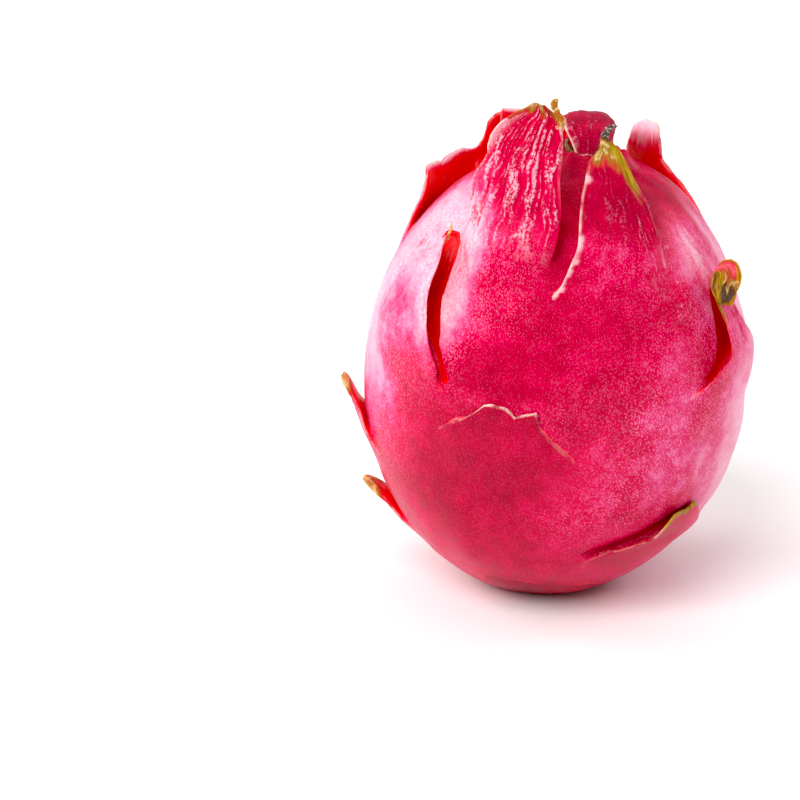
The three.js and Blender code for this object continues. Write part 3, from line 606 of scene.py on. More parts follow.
def finish_mesh(bm, name):
    bmesh.ops.recalc_face_normals(bm, faces=bm.faces)
    if bm.calc_volume(signed=True) < 0:
        bmesh.ops.reverse_faces(bm, faces=bm.faces)
    mesh = bpy.data.meshes.new(name)
    bm.to_mesh(mesh)
    bm.free()
    mesh.polygons.foreach_set("use_smooth", [True] * len(mesh.polygons))
    piece = bpy.data.objects.new(name, mesh)
    bpy.context.scene.collection.objects.link(piece)
    return piece


def coordinates(mesh):
    flat = np.empty(len(mesh.vertices) * 3)
    mesh.vertices.foreach_get("co", flat)
    return flat.reshape(-1, 3)


def move_points(mesh, points):
    mesh.vertices.foreach_set("co", np.asarray(points, float).ravel())
    mesh.update()


def move_verts(bm, points):
    for vert, point in zip(bm.verts, points):
        vert.co = point


def crumple_verts(bm, lumps, size=1.0, shift=0.0):
    """Pushes points out and in by noise. Each lump has its strength and how many go to a mm."""
    for vert in bm.verts:
        lump = sum(strength * noise.noise(vert.co * often) for strength, often in lumps)
        vert.co += vert.normal * (lump * size + shift)


def write_notes(piece, notes):
    """Stores what the finish needs on the face corners, where a union leaves it as it is."""
    mesh = piece.data
    corners = np.empty(len(mesh.loops), int)
    mesh.loops.foreach_get("vertex_index", corners)
    for key in NOTES:
        values = np.broadcast_to(np.asarray(notes.get(key, 0.0), float), len(mesh.vertices))
        layer = mesh.attributes.new(key, "FLOAT", "CORNER")
        layer.data.foreach_set("value", values[corners].astype(np.float32))
    mark_points(mesh)


def mark_points(mesh, mark=1.0):
    """Every point is marked, so that the points which a union adds stand out as unmarked."""
    if "marked" in mesh.attributes:
        mesh.attributes.remove(mesh.attributes["marked"])
    marked = mesh.attributes.new("marked", "FLOAT", "POINT")
    marked.data.foreach_set("value", np.full(len(mesh.vertices), mark, np.float32))


def sheet(columns, rows):
    """A thick sheet: a grid and a copy of it behind, closed round the edge."""
    bm = bmesh.new()
    bmesh.ops.create_grid(bm, x_segments=columns, y_segments=rows, size=1)
    grown = bmesh.ops.extrude_face_region(bm, geom=bm.faces[:], use_keep_orig=True)
    bm.verts.index_update()
    behind = {item.index for item in grown["geom"] if isinstance(item, bmesh.types.BMVert)}
    flat = np.array([vert.co for vert in bm.verts])
    inside = np.array([vert.index in behind for vert in bm.verts])
    return bm, flat[:, 0], (flat[:, 1] + 1) / 2, inside


EDGE_CROWDING = 0.12  # narrower facets towards a scale's margins


def blade_piece(scale):
    """One scale as a closed solid."""
    bm, u, v, inside = sheet(*scale["grid"])
    u = (1 + EDGE_CROWDING) * u - EDGE_CROWDING * u ** 3
    points = np.zeros((len(u), 3))
    notes = {key: np.zeros(len(u)) for key in (*NOTES, "tone")}
    for side in (False, True):
        pick = inside == side
        points[pick], made = blade_points(scale, u[pick], v[pick], side)
        for key, values in made.items():
            notes[key][pick] = values
    relief, crest, _ = pleats_at(points)
    points = points + outward(points) * (relief * ~inside)[:, None]
    notes["crest"] += crest * ~inside
    notes["pale"] = np.clip(paleness_with_painted_light(points) + notes["tone"], -1, 1)
    move_verts(bm, points)
    piece = finish_mesh(bm, scale["name"])
    write_notes(piece, notes)
    return piece


TUBE_STEP = 0.02
TUBE_ROUNDS = (0.92, 1)
TUBE_END = 0.5


def tube_piece(path, radius, taper, sides, cuts):
    """A tapering closed strand along a path, as a bmesh. Taper: thickness at its root, in radii,
    and how much less it is at its tip."""
    bm = bmesh.new()
    bmesh.ops.create_cone(bm, cap_ends=True, segments=sides, radius1=1, radius2=1, depth=1)
    upright = [edge for edge in bm.edges if edge.verts[0].co.z * edge.verts[1].co.z < 0]
    bmesh.ops.subdivide_edges(bm, edges=upright, cuts=cuts)
    keys = with_ends([Vector(p) for p in path])
    spans = len(keys) - 3

    def at(t):
        s = min(max(t, 0), 1) * spans
        i = min(int(s), spans - 1)
        return smooth_between(*keys[i:i + 4], s - i)

    side = (at(TUBE_STEP) - at(0)).orthogonal().normalized()
    for vert in sorted(bm.verts, key=lambda item: item.co.z):
        t = vert.co.z + 0.5
        heading = (at(t + TUBE_STEP) - at(t - TUBE_STEP)).normalized()
        side = (side - heading * side.dot(heading)).normalized()
        turn = math.atan2(vert.co.y, vert.co.x)
        thickness = radius * (taper[0] - taper[1] * t) * (1 - TUBE_END * float(ease(*TUBE_ROUNDS, t)))
        vert.co = at(t) + (side * math.cos(turn) + heading.cross(side) * math.sin(turn)) * thickness
    bmesh.ops.recalc_face_normals(bm, faces=bm.faces)
    return bm


HORN_TAPER = (1.05, 0.5)
HORN_FACETS = (18, 28)
HORN_LUMPS = [(0.5, 0.9), (0.4, 2.3)]
HORN_CRUMPLE = 0.9  # in radii
HORN_ROOT_DRY = 0.46
HORN_DRIES = (0.1, 0.6)
HORN_PATCHES = [(0.2, 0, (1, 1, 1))]
HORN_FIBRES = 3


def horn_piece(scale):
    """The dry hooked tip of a scale."""
    one = np.ones(1)
    out_r, out_z = scale["curve"][1][-1]
    azimuth = math.radians(scale["at"])
    radial = Vector((math.sin(azimuth), -math.cos(azimuth), 0))
    horn = scale["horn"]
    path = []
    for across, along, outwards in horn["path"]:
        point = Vector(on_spine(scale, one, across * one, (outwards - BLADE_EDGE / 2) * one)[0])
        path.append(point - radial * out_z * along + Vector((0, 0, out_r * along)))
    bm = tube_piece(path, horn["radius"], HORN_TAPER, *HORN_FACETS)
    crumple_verts(bm, HORN_LUMPS, size=horn["radius"] * HORN_CRUMPLE)
    points = np.array([vert.co for vert in bm.verts])
    root, tip = np.array(path[0]), np.array(path[-1])
    part = np.clip(((points - root) @ (tip - root)) / ((tip - root) @ (tip - root)), 0, 1)
    dry = HORN_ROOT_DRY + (horn["dry"] - HORN_ROOT_DRY) * ease(*HORN_DRIES, part)
    piece = finish_mesh(bm, scale["name"] + "_horn")
    write_notes(piece, dict(rim=FAR_FROM_RIM, blade=1, dry=dry + layered(points, HORN_PATCHES),
                            fibre=points[:, 0] * HORN_FIBRES, along=points[:, 2]))
    mark_points(piece.data, TIP)
    return piece


def outward(points):
    """Unit normals of the plain egg shape below each point."""
    steep = points / np.array([BODY_RADIUS ** 2, BODY_RADIUS ** 2, BODY_HALF_LENGTH ** 2])
    return steep / np.maximum(np.linalg.norm(steep, axis=1, keepdims=True), 1e-9)


BODY_FACETS = (184, 127)
RECESS_WALL = 0.5
SWELL = [(0.3, 0, (16, 16, 26)), (0.12, 40, (5, 5, 8))]
PUCKER_HEIGHT = 0.4
PUCKER_RADIUS = 12
PUCKER_WIDTH = 6
PUCKERS = 17
PUCKER_SWAY = [(2, 0, (9, 9, 9))]
STRINGIEST = 0.5


def body_piece():
    """The egg-shaped body with its navel, flower scar and stem recess."""
    bm = bmesh.new()
    bmesh.ops.create_uvsphere(bm, u_segments=BODY_FACETS[0], v_segments=BODY_FACETS[1], radius=1)
    unit = np.array([vert.co for vert in bm.verts])
    polar = np.arccos(np.clip(unit[:, 2], -1, 1))
    azimuth = np.arctan2(unit[:, 0], -unit[:, 1])
    r = BODY_RADIUS * np.sin(polar)
    z = BODY_HALF_LENGTH * np.cos(polar)
    crown = polar < math.pi / 2
    collar = COLLAR_HEIGHT * np.exp(-((r - COLLAR_RADIUS) / COLLAR_WIDTH) ** 2)
    z = z + np.where(crown, collar - NAVEL_DEPTH * np.exp(-(r / NAVEL_WIDTH) ** 2), 0)
    scar = ease(FLOWER_SCAR_RADIUS + RECESS_WALL, FLOWER_SCAR_RADIUS, r) * crown
    z = z + (FLOWER_SCAR_FLOOR - z) * scar
    recess = ease(STEM_RECESS_RADIUS + RECESS_WALL, STEM_RECESS_RADIUS, r) * ~crown
    z = z + (STEM_RECESS_CEILING - z) * recess
    points = np.stack([r * np.sin(azimuth), -r * np.cos(azimuth), z], 1)
    relief, crest, stringy = pleats_at(points)
    swell = layered(points, SWELL) + folds_at(points)
    ring = PUCKER_HEIGHT * np.exp(-((r - PUCKER_RADIUS) / PUCKER_WIDTH) ** 2)
    puckered = ring * np.cos(azimuth * PUCKERS + layered(points, PUCKER_SWAY))
    lift = (swell + relief + puckered * crown) * (1 - scar) * (1 - recess)
    points = points + outward(points) * lift[:, None]
    move_verts(bm, points)
    piece = finish_mesh(bm, "body")
    write_notes(piece, dict(rim=FAR_FROM_RIM, fibre=azimuth * BODY_RADIUS, along=z, crest=crest,
                            blade=np.minimum(stringy, STRINGIEST), pale=paleness_with_painted_light(points)))
    return piece


SLOT_FACETS = (10, 60)
SLOT_ROUNDED = 0.35
SLOT_STARTS = (0, 0.06)
SLOT_ENDS = (1, 0.93)
SLOT_UNEVEN = [(0.2, 0, (4, 4, 6))]
SLOT_ABOVE = 3  # how far the cutter stands out of the skin
SLOT_FIBRES = 4
# Painted shade: the skin in the cuts is deeper, partly its bare crimson and partly shade under the
# margins.
SLOT_TONE_AND_PAINTED_SHADE = -0.5


def slot_cutter(slot):
    """What is cut from the skin beside a scale."""
    rows = np.array(slot["rows"], float)
    bm, u, v, inside = sheet(*SLOT_FACETS)
    part = (1 - v) * (len(rows) - 1)
    turn_a, height_a, turn_b, height_b = (np.interp(part, np.arange(len(rows)), column)
                                          for column in rows.T)
    turn = np.radians((turn_a + turn_b) / 2 + u * (turn_b - turn_a) / 2)
    height = (height_a + height_b) / 2 + u * (height_b - height_a) / 2
    radius = skin_radius(height)
    points = np.stack([radius * np.sin(turn), -radius * np.cos(turn), height], 1)
    floor = slot["depth"] * (1 - SLOT_ROUNDED * u ** 4) * ease(*SLOT_STARTS, v) * ease(*SLOT_ENDS, v)
    below = np.where(inside, layered(points, SLOT_UNEVEN) - floor, SLOT_ABOVE)
    points = points + outward(points) * below[:, None]
    move_verts(bm, points)
    piece = finish_mesh(bm, "slot")
    write_notes(piece, dict(red=slot["red"], rim=FAR_FROM_RIM, fibre=u * SLOT_FIBRES, along=height,
                            blade=slot["red"], pale=SLOT_TONE_AND_PAINTED_SHADE))
    return piece


def combine(body, others, operation):
    """Cuts closed solids from the body, or joins them to it."""
    group = bpy.data.collections.new("others")
    bpy.context.scene.collection.children.link(group)
    for other in others:
        group.objects.link(other)
    join = body.modifiers.new("join", "BOOLEAN")
    join.operation = operation
    join.operand_type = "COLLECTION"
    join.solver = "MANIFOLD"
    join.collection = group
    depsgraph = bpy.context.evaluated_depsgraph_get()
    joined = bpy.data.meshes.new_from_object(body.evaluated_get(depsgraph))
    body.modifiers.remove(join)
    body.data = joined
    for other in others:
        bpy.data.objects.remove(other)
    bpy.data.collections.remove(group)


SEAM_REACH = (5, 0.4)  # from where the smoothing fades in, and where it is whole
SEAM_PASSES = 30
SEAM_PULL = 0.6
CROWN_SEAMS = 12.0  # seams this near the axis stay crisp, round the withered flower
TIP_SEAMS = 1.5  # and seams this near a dry tip
UNMARKED = 0.5


def distances(sources, points):
    """How far each point is from the nearest of the sources."""
    tree = kdtree.KDTree(len(sources))
    for k, source in enumerate(sources):
        tree.insert(source, k)
    tree.balance()
    return np.array([tree.find(point)[2] for point in points])


def soften_seams(mesh):
    """Rounds off the creases where the scales leave the body, and leaves the thin tips alone."""
    bm = bmesh.new()
    bm.from_mesh(mesh)
    bmesh.ops.triangulate(bm, faces=bm.faces)
    bm.to_mesh(mesh)
    bm.free()
    points = coordinates(mesh)
    marked = np.empty(len(points), np.float32)
    mesh.attributes["marked"].data.foreach_get("value", marked)
    off_tip = distances(points[marked == TIP], points) > TIP_SEAMS
    in_crown = (np.hypot(points[:, 0], points[:, 1]) < CROWN_SEAMS) & (points[:, 2] > 0)
    seam = points[(marked < UNMARKED) & off_tip & ~in_crown]
    near = ease(*SEAM_REACH, distances(seam, points)) * off_tip
    edges = np.empty(len(mesh.edges) * 2, int)
    mesh.edges.foreach_get("vertices", edges)
    a, b = edges.reshape(-1, 2).T
    ends, starts = np.r_[a, b], np.r_[b, a]
    degree = np.bincount(ends, minlength=len(points))
    for _ in range(SEAM_PASSES):
        for axis in range(3):
            mean = np.bincount(ends, points[starts, axis], len(points)) / degree
            points[:, axis] += SEAM_PULL * near * (mean - points[:, axis])
    move_points(mesh, points)


SHARP_FROM = math.radians(75)


def stand_up(points):
    """From the fruit's own frame to the part's."""
    return points @ np.array(STAND.to_3x3()).T + np.array(STAND.translation)


def fruit_piece():
    scales = [{**PLAIN_SCALE, **scale} for scale in SCALES + hidden_scales()]
    for number, scale in enumerate(scales):
        scale["number"] = number
        scale["curve"] = spine_curve(scale["spine"])
    fruit = body_piece()
    blades = [blade_piece(scale) for scale in scales]
    horns = [horn_piece(scale) for scale in scales if "horn" in scale]
    slotted = [blade for blade in blades if blade.name in SLOTTED_SCALES]
    for piece in (fruit, *slotted):
        combine(piece, [slot_cutter(slot) for slot in SLOTS], "DIFFERENCE")
        mark_points(piece.data)
    combine(fruit, blades + horns, "UNION")
    soften_seams(fruit.data)
    points = stand_up(coordinates(fruit.data))
    points[:, 2] = np.maximum(points[:, 2], 0)
    move_points(fruit.data, points * MM)
    fruit.data.attributes.remove(fruit.data.attributes["marked"])
    fruit.data.polygons.foreach_set("use_smooth", [True] * len(fruit.data.polygons))
    fruit.data.set_sharp_from_angle(angle=SHARP_FROM)
    fruit.name = fruit.data.name = "fruit_skin"
    return fruit


# ---- materials --------------------------------------------------------------------------
class Nodes:
    """Short names for building a node tree. Colours are given as hex strings."""

    def __init__(self, owner):
        owner.use_nodes = True
        self.owner = owner
        self.tree = owner.node_tree
        self.tree.nodes.clear()

    def plug(self, socket, value):
        if isinstance(value, bpy.types.NodeSocket):
            self.tree.links.new(value, socket)
        else:
            socket.default_value = rgb(value) if isinstance(value, str) else value

    def add(self, kind, inputs=None, **settings):
        node = self.tree.nodes.new(kind)
        for key, value in settings.items():
            setattr(node, key, value)
        for key, value in (inputs or {}).items():
            self.plug(node.inputs[key], value)
        return node

    def note(self, name):
        return self.add("ShaderNodeAttribute", attribute_name=name).outputs["Fac"]

    def math(self, operation, a, b=0.0, c=0.0):
        return self.add("ShaderNodeMath", {0: a, 1: b, 2: c}, operation=operation).outputs[0]

    def plus(self, a, b):
        return self.math("ADD", a, b)

    def times(self, a, b, more=None):
        """The product of a and b, with more added to it."""
        return self.math("MULTIPLY", a, b) if more is None else self.math("MULTIPLY_ADD", a, b, more)

    def fade(self, value, low, high, start=0.0, end=1.0):
        """A smooth step of value from low to high, giving start to end."""
        node = self.add("ShaderNodeMapRange", {"Value": value, "From Min": low, "From Max": high,
                                               "To Min": start, "To Max": end},
                        interpolation_type="SMOOTHSTEP")
        return node.outputs["Result"]

    def mix(self, factor, a, b):
        node = self.add("ShaderNodeMix", data_type="RGBA")
        sockets = {socket.identifier: socket for socket in (*node.inputs, *node.outputs)}
        for key, value in (("Factor_Float", factor), ("A_Color", a), ("B_Color", b)):
            self.plug(sockets[key], value)
        return sockets["Result_Color"]

    def ramp(self, value, stops):
        node = self.add("ShaderNodeValToRGB", {"Fac": value})
        points = node.color_ramp.elements
        while len(points) < len(stops):
            points.new(0.5)
        for point, (place, colour) in zip(points, stops):
            point.position = place
            point.color = rgb(colour)
        return node.outputs["Color"]

    def noise(self, vector, scale, detail, roughness):
        return self.add("ShaderNodeTexNoise", {"Vector": vector, "Scale": scale, "Detail": detail,
                                               "Roughness": roughness}).outputs["Fac"]

    def place(self):
        return self.add("ShaderNodeTexCoord").outputs["Object"]

    def bump(self, height, strength, distance):
        return self.add("ShaderNodeBump", {"Height": height, "Strength": strength,
                                           "Distance": distance}).outputs["Normal"]

    def surface(self, inputs):
        shader = self.add("ShaderNodeBsdfPrincipled", inputs).outputs["BSDF"]
        self.add("ShaderNodeOutputMaterial", {"Surface": shader})
        return self.owner


def rgb(text):
    """A linear colour from a hex string in display values."""
    values = [int(text[i:i + 2], 16) / 255 for i in (1, 3, 5)]
    return tuple((c / 12.92 if c <= 0.04045 else ((c + 0.055) / 1.055) ** 2.4) for c in values) + (1.0,)


# Noises of the finish: lumps to a metre (to a mm for the fibres), detail and roughness.
FIBRES = (1.3, 4, 0.6)
FIBRE_STRETCH = 0.14
BLOTCHES = (75, 3, 0.5)
MOTTLE = (260, 4, 0.6)
LEATHER = (420, 3, 0.6)
VEIN_NET = (760, 3, 0.6)
FINE_GRAIN = (1000, 4, 0.65)
BEADS = (1500, 2, 0.6)
# Fades of the finish: from and to, and what it gives at both ends where that isn't 0 and 1. A name
# in _IN is in mm from the rim of a scale.
TONE_SPREAD = (0.3, 0.7, -0.08, 0.08)
FLECKS_SHOW = (-0.4, 0.3, 0.07, 0.58)
FLECKS_ON_SCALES = 0.8  # how much of them the fibres of a scale hide
VEIN_WIDTH = (0.1, 0.0)
VEINS_SHOW = (0.1, 0.7, 0.0, 0.34)
ROUGH_FIBRES = (0.35, 0.65, -0.5, 0.5)
FIBRES_SHOW = 0.9
# Painted highlight on wrinkle crests and painted shade in their valleys:
CREST_HIGHLIGHT_SHOWS = (0.15, 1.1, 0.0, 0.75)
VALLEY_SHADE_SHOWS = (-0.1, -0.9, 0.0, 0.8)
BLOOM_SHOWS = 0.75
FLESH_SPREAD = (0.3, 0.7)
FLESH_RIM_IN = (2.4, 0.6, 0.0, 0.35)
FLESH_BLUSHES = (0.0, 0.5)
FLESH_PALES = (0.3, 0.9, 0.0, 0.95)
EDGE_IN = (0.75, 0.3)
EDGE_BROKEN = (0.42, 0.56, 0.1, 1.0)
WITHERED_SPREAD = (0.3, 0.7, -0.1, 0.1)
WITHERED_SHOWS = (0.03, 0.14)
CRACKLE_FROM = (0.5, 0.62, 0.0, 0.7)
CRACKLE_DRY = (0.84, 0.94)
OLIVE_SPREAD = (0.35, 0.65)
OLIVE_SHOWS = 0.92
ROUGHNESS = (0.3, 0.7, 0.3, 0.44)
DRY_ROUGHNESS = (0.1, 0.4, 0.0, 0.2)
SKIN_GLOW, SCALE_GLOW, FLESH_GLOW = 0.08, 0.25, 0.4
LEATHER_BUMP, GRAIN_BUMP, FLECK_BUMP, FIBRE_BUMP = 0.7, 0.4, 0.2, 1.4
BUMP_STRENGTH = 0.6
BUMP_HEIGHT = 0.0004
FLECK_CELLS = 2300.0
FLECK_SIZE = (0.3, 0.7, 0.3, 0.4)
FLECK_GROWTH = 0.03
FLECK_EDGE = (0.1, -0.1)
FLECK_STRETCH = (1.15, 1.15, 0.8)
FLECK_WOBBLE = {"Scale": 900.0, "Detail": 1.0}
WOBBLE_REACH = (0.0009, 0.0009, 0.0009)
# Its colours. The crest colour is a painted highlight on wrinkle crests, the valley colour painted
# shade in their valleys, and the crackle colour partly the dry horn's pale crinkles and partly
# painted glints.
SKIN_TONES = [(0.05, "#96002a"), (0.3, "#ba0037"), (0.5, "#d6064c"), (0.64, "#e23c7a"),
              (0.8, "#f08cb0"), (1.0, "#f7bfd0")]
FLECK, VEIN, CREST_PAINTED_HIGHLIGHT, VALLEY_PAINTED_SHADE, BLOOM = "#f9a2c2", "#d8235c", "#fbbccf", "#dc0a4a", "#f9c4cc"
FLESH, BRIGHT_FLESH, FLESH_RIM = "#ea000e", "#ff1a1e", "#f2386a"
FLESH_BLUSH, FLESH_PALE = "#ee2464", "#ffd0e2"
EDGE_CREAM, CRACKLE_AND_PAINTED_GLINTS, DARK_OLIVE, OLIVE = "#f8d8c8", "#d9d2c4", "#75620f", "#c39a1e"
WITHERED_TONES = [(0.0, "#d0063c"), (0.12, "#c8303a"), (0.26, "#bb5a2c"), (0.4, "#ab7828"),
                  (0.52, "#dfc48a"), (0.64, "#b98a48"), (0.8, "#5c3e22"), (1.0, "#55504c")]


def fruit_material():
    n = Nodes(bpy.data.materials.new("dragon fruit skin"))
    place = n.place()
    notes = {key: n.note(key) for key in NOTES}
    strand = n.add("ShaderNodeCombineXYZ", {"X": notes["fibre"], "Z": 0.0,
                                            "Y": n.times(notes["along"], FIBRE_STRETCH)})
    fibres = n.noise(strand.outputs[0], *FIBRES)
    mottle = n.noise(place, *MOTTLE)
    beads = n.noise(place, *BEADS)
    flecks = speckles(n, place, mottle, notes["pale"])
    skin = skin_colour(n, place, notes, mottle, beads, fibres, flecks)
    colour = n.mix(notes["red"], skin, flesh_colour(n, notes, fibres))
    edge = n.times(n.fade(notes["rim"], *EDGE_IN), n.fade(mottle, *EDGE_BROKEN))
    colour = n.mix(n.times(edge, notes["cream"]), colour, EDGE_CREAM)
    colour = withered_colour(n, notes, colour, mottle, beads, fibres)

    height = n.plus(n.times(n.noise(place, *LEATHER), LEATHER_BUMP),
                    n.times(n.noise(place, *FINE_GRAIN), GRAIN_BUMP))
    height = n.plus(height, n.times(flecks, FLECK_BUMP))
    height = n.plus(height, n.times(fibres, n.times(notes["blade"], FIBRE_BUMP)))
    glow = n.plus(n.times(notes["blade"], SCALE_GLOW, SKIN_GLOW), n.times(notes["red"], FLESH_GLOW))
    return n.surface({
        "Base Color": colour, "Normal": n.bump(height, BUMP_STRENGTH, BUMP_HEIGHT),
        "Roughness": n.plus(n.fade(mottle, *ROUGHNESS), n.fade(notes["dry"], *DRY_ROUGHNESS)),
        "Subsurface Weight": glow, "Subsurface Scale": 0.002, "Subsurface Radius": (1.0, 0.12, 0.15),
        "Specular IOR Level": 0.14, "Coat Weight": 0.05, "Coat Roughness": 0.16})


def skin_colour(n, place, notes, mottle, beads, fibres, flecks):
    """Crimson to pale pink, with flecks and faint veins, painted highlight on the crests of wrinkles
    and pleats and painted shade in their valleys; the paleness it reads holds painted light too.
    """
    pale, blade = notes["pale"], notes["blade"]
    tone = n.plus(n.times(pale, 0.5, 0.5), n.fade(n.noise(place, *BLOTCHES), *TONE_SPREAD))
    skin = n.ramp(n.plus(tone, n.fade(mottle, *TONE_SPREAD)), SKIN_TONES)
    spotted = n.times(n.fade(pale, *FLECKS_SHOW), n.times(blade, -FLECKS_ON_SCALES, 1.0))
    skin = n.mix(n.times(flecks, spotted), skin, FLECK)
    from_vein = n.math("ABSOLUTE", n.math("SUBTRACT", n.noise(place, *VEIN_NET), 0.5))
    skin = n.mix(n.times(n.fade(from_vein, *VEIN_WIDTH), n.fade(pale, *VEINS_SHOW)), skin, VEIN)
    # painted highlight on the crests of wrinkles and pleats, painted shade in their valleys
    wrinkle_light_and_shade = n.times(n.fade(beads, *ROUGH_FIBRES), blade, notes["crest"])
    wrinkle_light_and_shade = n.times(n.fade(fibres, *ROUGH_FIBRES), n.times(blade, FIBRES_SHOW), wrinkle_light_and_shade)
    skin = n.mix(n.fade(wrinkle_light_and_shade, *CREST_HIGHLIGHT_SHOWS), skin, CREST_PAINTED_HIGHLIGHT)
    skin = n.mix(n.fade(wrinkle_light_and_shade, *VALLEY_SHADE_SHOWS), skin, VALLEY_PAINTED_SHADE)
    return n.mix(n.times(notes["bloom"], BLOOM_SHOWS), skin, BLOOM)


def flesh_colour(n, notes, fibres):
    """The red inner face of a scale, pink at its rim and pale at its end."""
    flesh = n.mix(n.fade(fibres, *FLESH_SPREAD), FLESH, BRIGHT_FLESH)
    flesh = n.mix(n.fade(notes["rim"], *FLESH_RIM_IN), flesh, FLESH_RIM)
    flesh = n.mix(n.fade(notes["bloom"], *FLESH_BLUSHES), flesh, FLESH_BLUSH)
    return n.mix(n.fade(notes["bloom"], *FLESH_PALES), flesh, FLESH_PALE)


def withered_colour(n, notes, colour, mottle, beads, fibres):
    """Lays the dry tips, whose pale crackle is partly painted glints, and the olive strips over a colour.
    """
    dry = notes["dry"]
    withered = n.ramp(n.plus(dry, n.fade(mottle, *WITHERED_SPREAD)), WITHERED_TONES)
    # pale crackle on the driest tips: partly their own pale crinkles, partly painted glints
    crackle = n.times(n.fade(beads, *CRACKLE_FROM), n.fade(dry, *CRACKLE_DRY))
    withered = n.mix(crackle, withered, CRACKLE_AND_PAINTED_GLINTS)
    colour = n.mix(n.fade(dry, *WITHERED_SHOWS), colour, withered)
    olives = n.mix(n.fade(fibres, *OLIVE_SPREAD), DARK_OLIVE, OLIVE)
    return n.mix(n.times(notes["olive"], OLIVE_SHOWS), colour, olives)


def speckles(n, place, mottle, pale):
    """Small pale flecks all over the skin, a little longer along the fruit."""
    wobble = n.add("ShaderNodeTexNoise", {"Vector": place, **FLECK_WOBBLE}).outputs["Color"]
    stretched = n.add("ShaderNodeMapping", {"Vector": place, "Scale": FLECK_STRETCH}).outputs["Vector"]
    shaken = n.add("ShaderNodeVectorMath", {0: wobble, 1: WOBBLE_REACH, 2: stretched},
                   operation="MULTIPLY_ADD").outputs[0]
    cells = n.add("ShaderNodeTexVoronoi", {"Vector": shaken, "Scale": FLECK_CELLS}, feature="F1")
    size = n.plus(n.fade(mottle, *FLECK_SIZE), n.times(pale, FLECK_GROWTH))
    return n.fade(n.math("SUBTRACT", cells.outputs["Distance"], size), *FLECK_EDGE)


DRY_STRETCH = (1.0, 1.0, 0.3)
DRY_STREAKS = (5, 0.65)  # detail and roughness
DRY_BLOTCHES = (3, 0.5)
BLOTCH_SHARE = 0.35  # blotches to a streak
DRY_LIGHTENS = (0.36, 0.64)
HUSK_SHOWS = (0.5, 0.7, 0.0, 0.7)
HUSK = "#e8d9b4"
STREAK_ROUGHNESS = (0.3, 0.7, 0.5, 0.8)
STREAK_BUMP = (0.8, 0.0005)


def dry_material(name, light, dark, size):
    """Withered plant fibre between two colours, with streaks of a size in mm."""
    n = Nodes(bpy.data.materials.new(name))
    place = n.place()
    stretched = n.add("ShaderNodeMapping", {"Vector": place, "Scale": DRY_STRETCH}).outputs["Vector"]
    streaks = n.noise(stretched, 1.0 / (size * MM), *DRY_STREAKS)
    blotches = n.noise(place, BLOTCH_SHARE / (size * MM), *DRY_BLOTCHES)
    colour = n.mix(n.fade(streaks, *DRY_LIGHTENS), dark, light)
    colour = n.mix(n.fade(blotches, *HUSK_SHOWS), colour, HUSK)
    return n.surface({"Base Color": colour, "Roughness": n.fade(streaks, *STREAK_ROUGHNESS),
                      "Normal": n.bump(streaks, *STREAK_BUMP)})


# ---- the withered flower and the cut stem ------------------------------------------------
WELD = 1e-4
STUB_RADIUS = 4.5
STUB_HEIGHT = 2.6
STUB_FLOOR = FLOWER_SCAR_FLOOR + GAP
STUB_TOP = STUB_FLOOR + STUB_HEIGHT
STUB_PROFILE = [  # part of the stub's radius, and height
    (0, STUB_FLOOR), (1, STUB_FLOOR), (0.98, STUB_FLOOR + 0.8), (0.92, STUB_FLOOR + 1.6),
    (0.75, STUB_TOP), (0.4, STUB_TOP - 0.9), (0, STUB_TOP - 1.1)]
STUB_SIDES = 60
STRANDS = 7
STRAND_PATH = [(0, 0.7, -1.4), (0.35, 0.95, 0.3), (0.7, 1.1, 0.65), (1, 1.1, 0.95)]
STRAND_TAPER = (1.05, 0.6)
STRAND_FACETS = (14, 22)
STRAND_REACH = (0.7, 4.4)  # in the shade, and how much more on the open side
STRAND_LENGTH = (0.8, 0.2)  # the least, and how much more a draw adds at most
STRAND_STRAY = 0.5
STRAND_CURL = 1.6
OPEN_SIDE = math.radians(-95)
OPEN_POWER = 3
FLOWER_SEED = 5
FLOWER_LUMPS = [(0.22, 1.1), (0.1, 3.1)]
FLOWER_SHRINKS = -0.12
STEM_END = -(CENTRE_HEIGHT - STEM_END_CLEARANCE) / math.cos(LEAN) + STEM_RADIUS * math.tan(LEAN)
STEM_ROOT = STEM_RECESS_CEILING - GAP
STEM_PROFILE = [  # part of the stem's radius, and height
    (0, STEM_END), (0.5, STEM_END), (0.85, STEM_END), (1, STEM_END + 0.4),
    (1, (STEM_END + STEM_ROOT) / 2), (1, STEM_ROOT - 0.8), (1.1, STEM_ROOT), (0, STEM_ROOT)]
STEM_SIDES = 48


def turned_profile(profile, radius, sides):
    """A closed solid turned round the axis from a profile that starts and ends on it."""
    bm = bmesh.new()
    verts = [bm.verts.new((part * radius, 0, z)) for part, z in profile]
    edges = [bm.edges.new(pair) for pair in zip(verts, verts[1:])]
    bmesh.ops.spin(bm, geom=verts + edges, cent=(0, 0, 0), axis=(0, 0, 1), angle=2 * math.pi,
                   steps=sides, use_merge=True)
    bmesh.ops.remove_doubles(bm, verts=bm.verts, dist=WELD)
    return bm


def claim(piece, material, node):
    """Gives a piece its material and puts it in the place of a solid."""
    piece.data.materials.clear()
    piece.data.materials.append(material)
    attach(piece, "root")
    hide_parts(node)


def place_piece(bm, name, material, node):
    for vert in bm.verts:
        vert.co = (STAND @ vert.co) * MM
    claim(finish_mesh(bm, name), material, node)


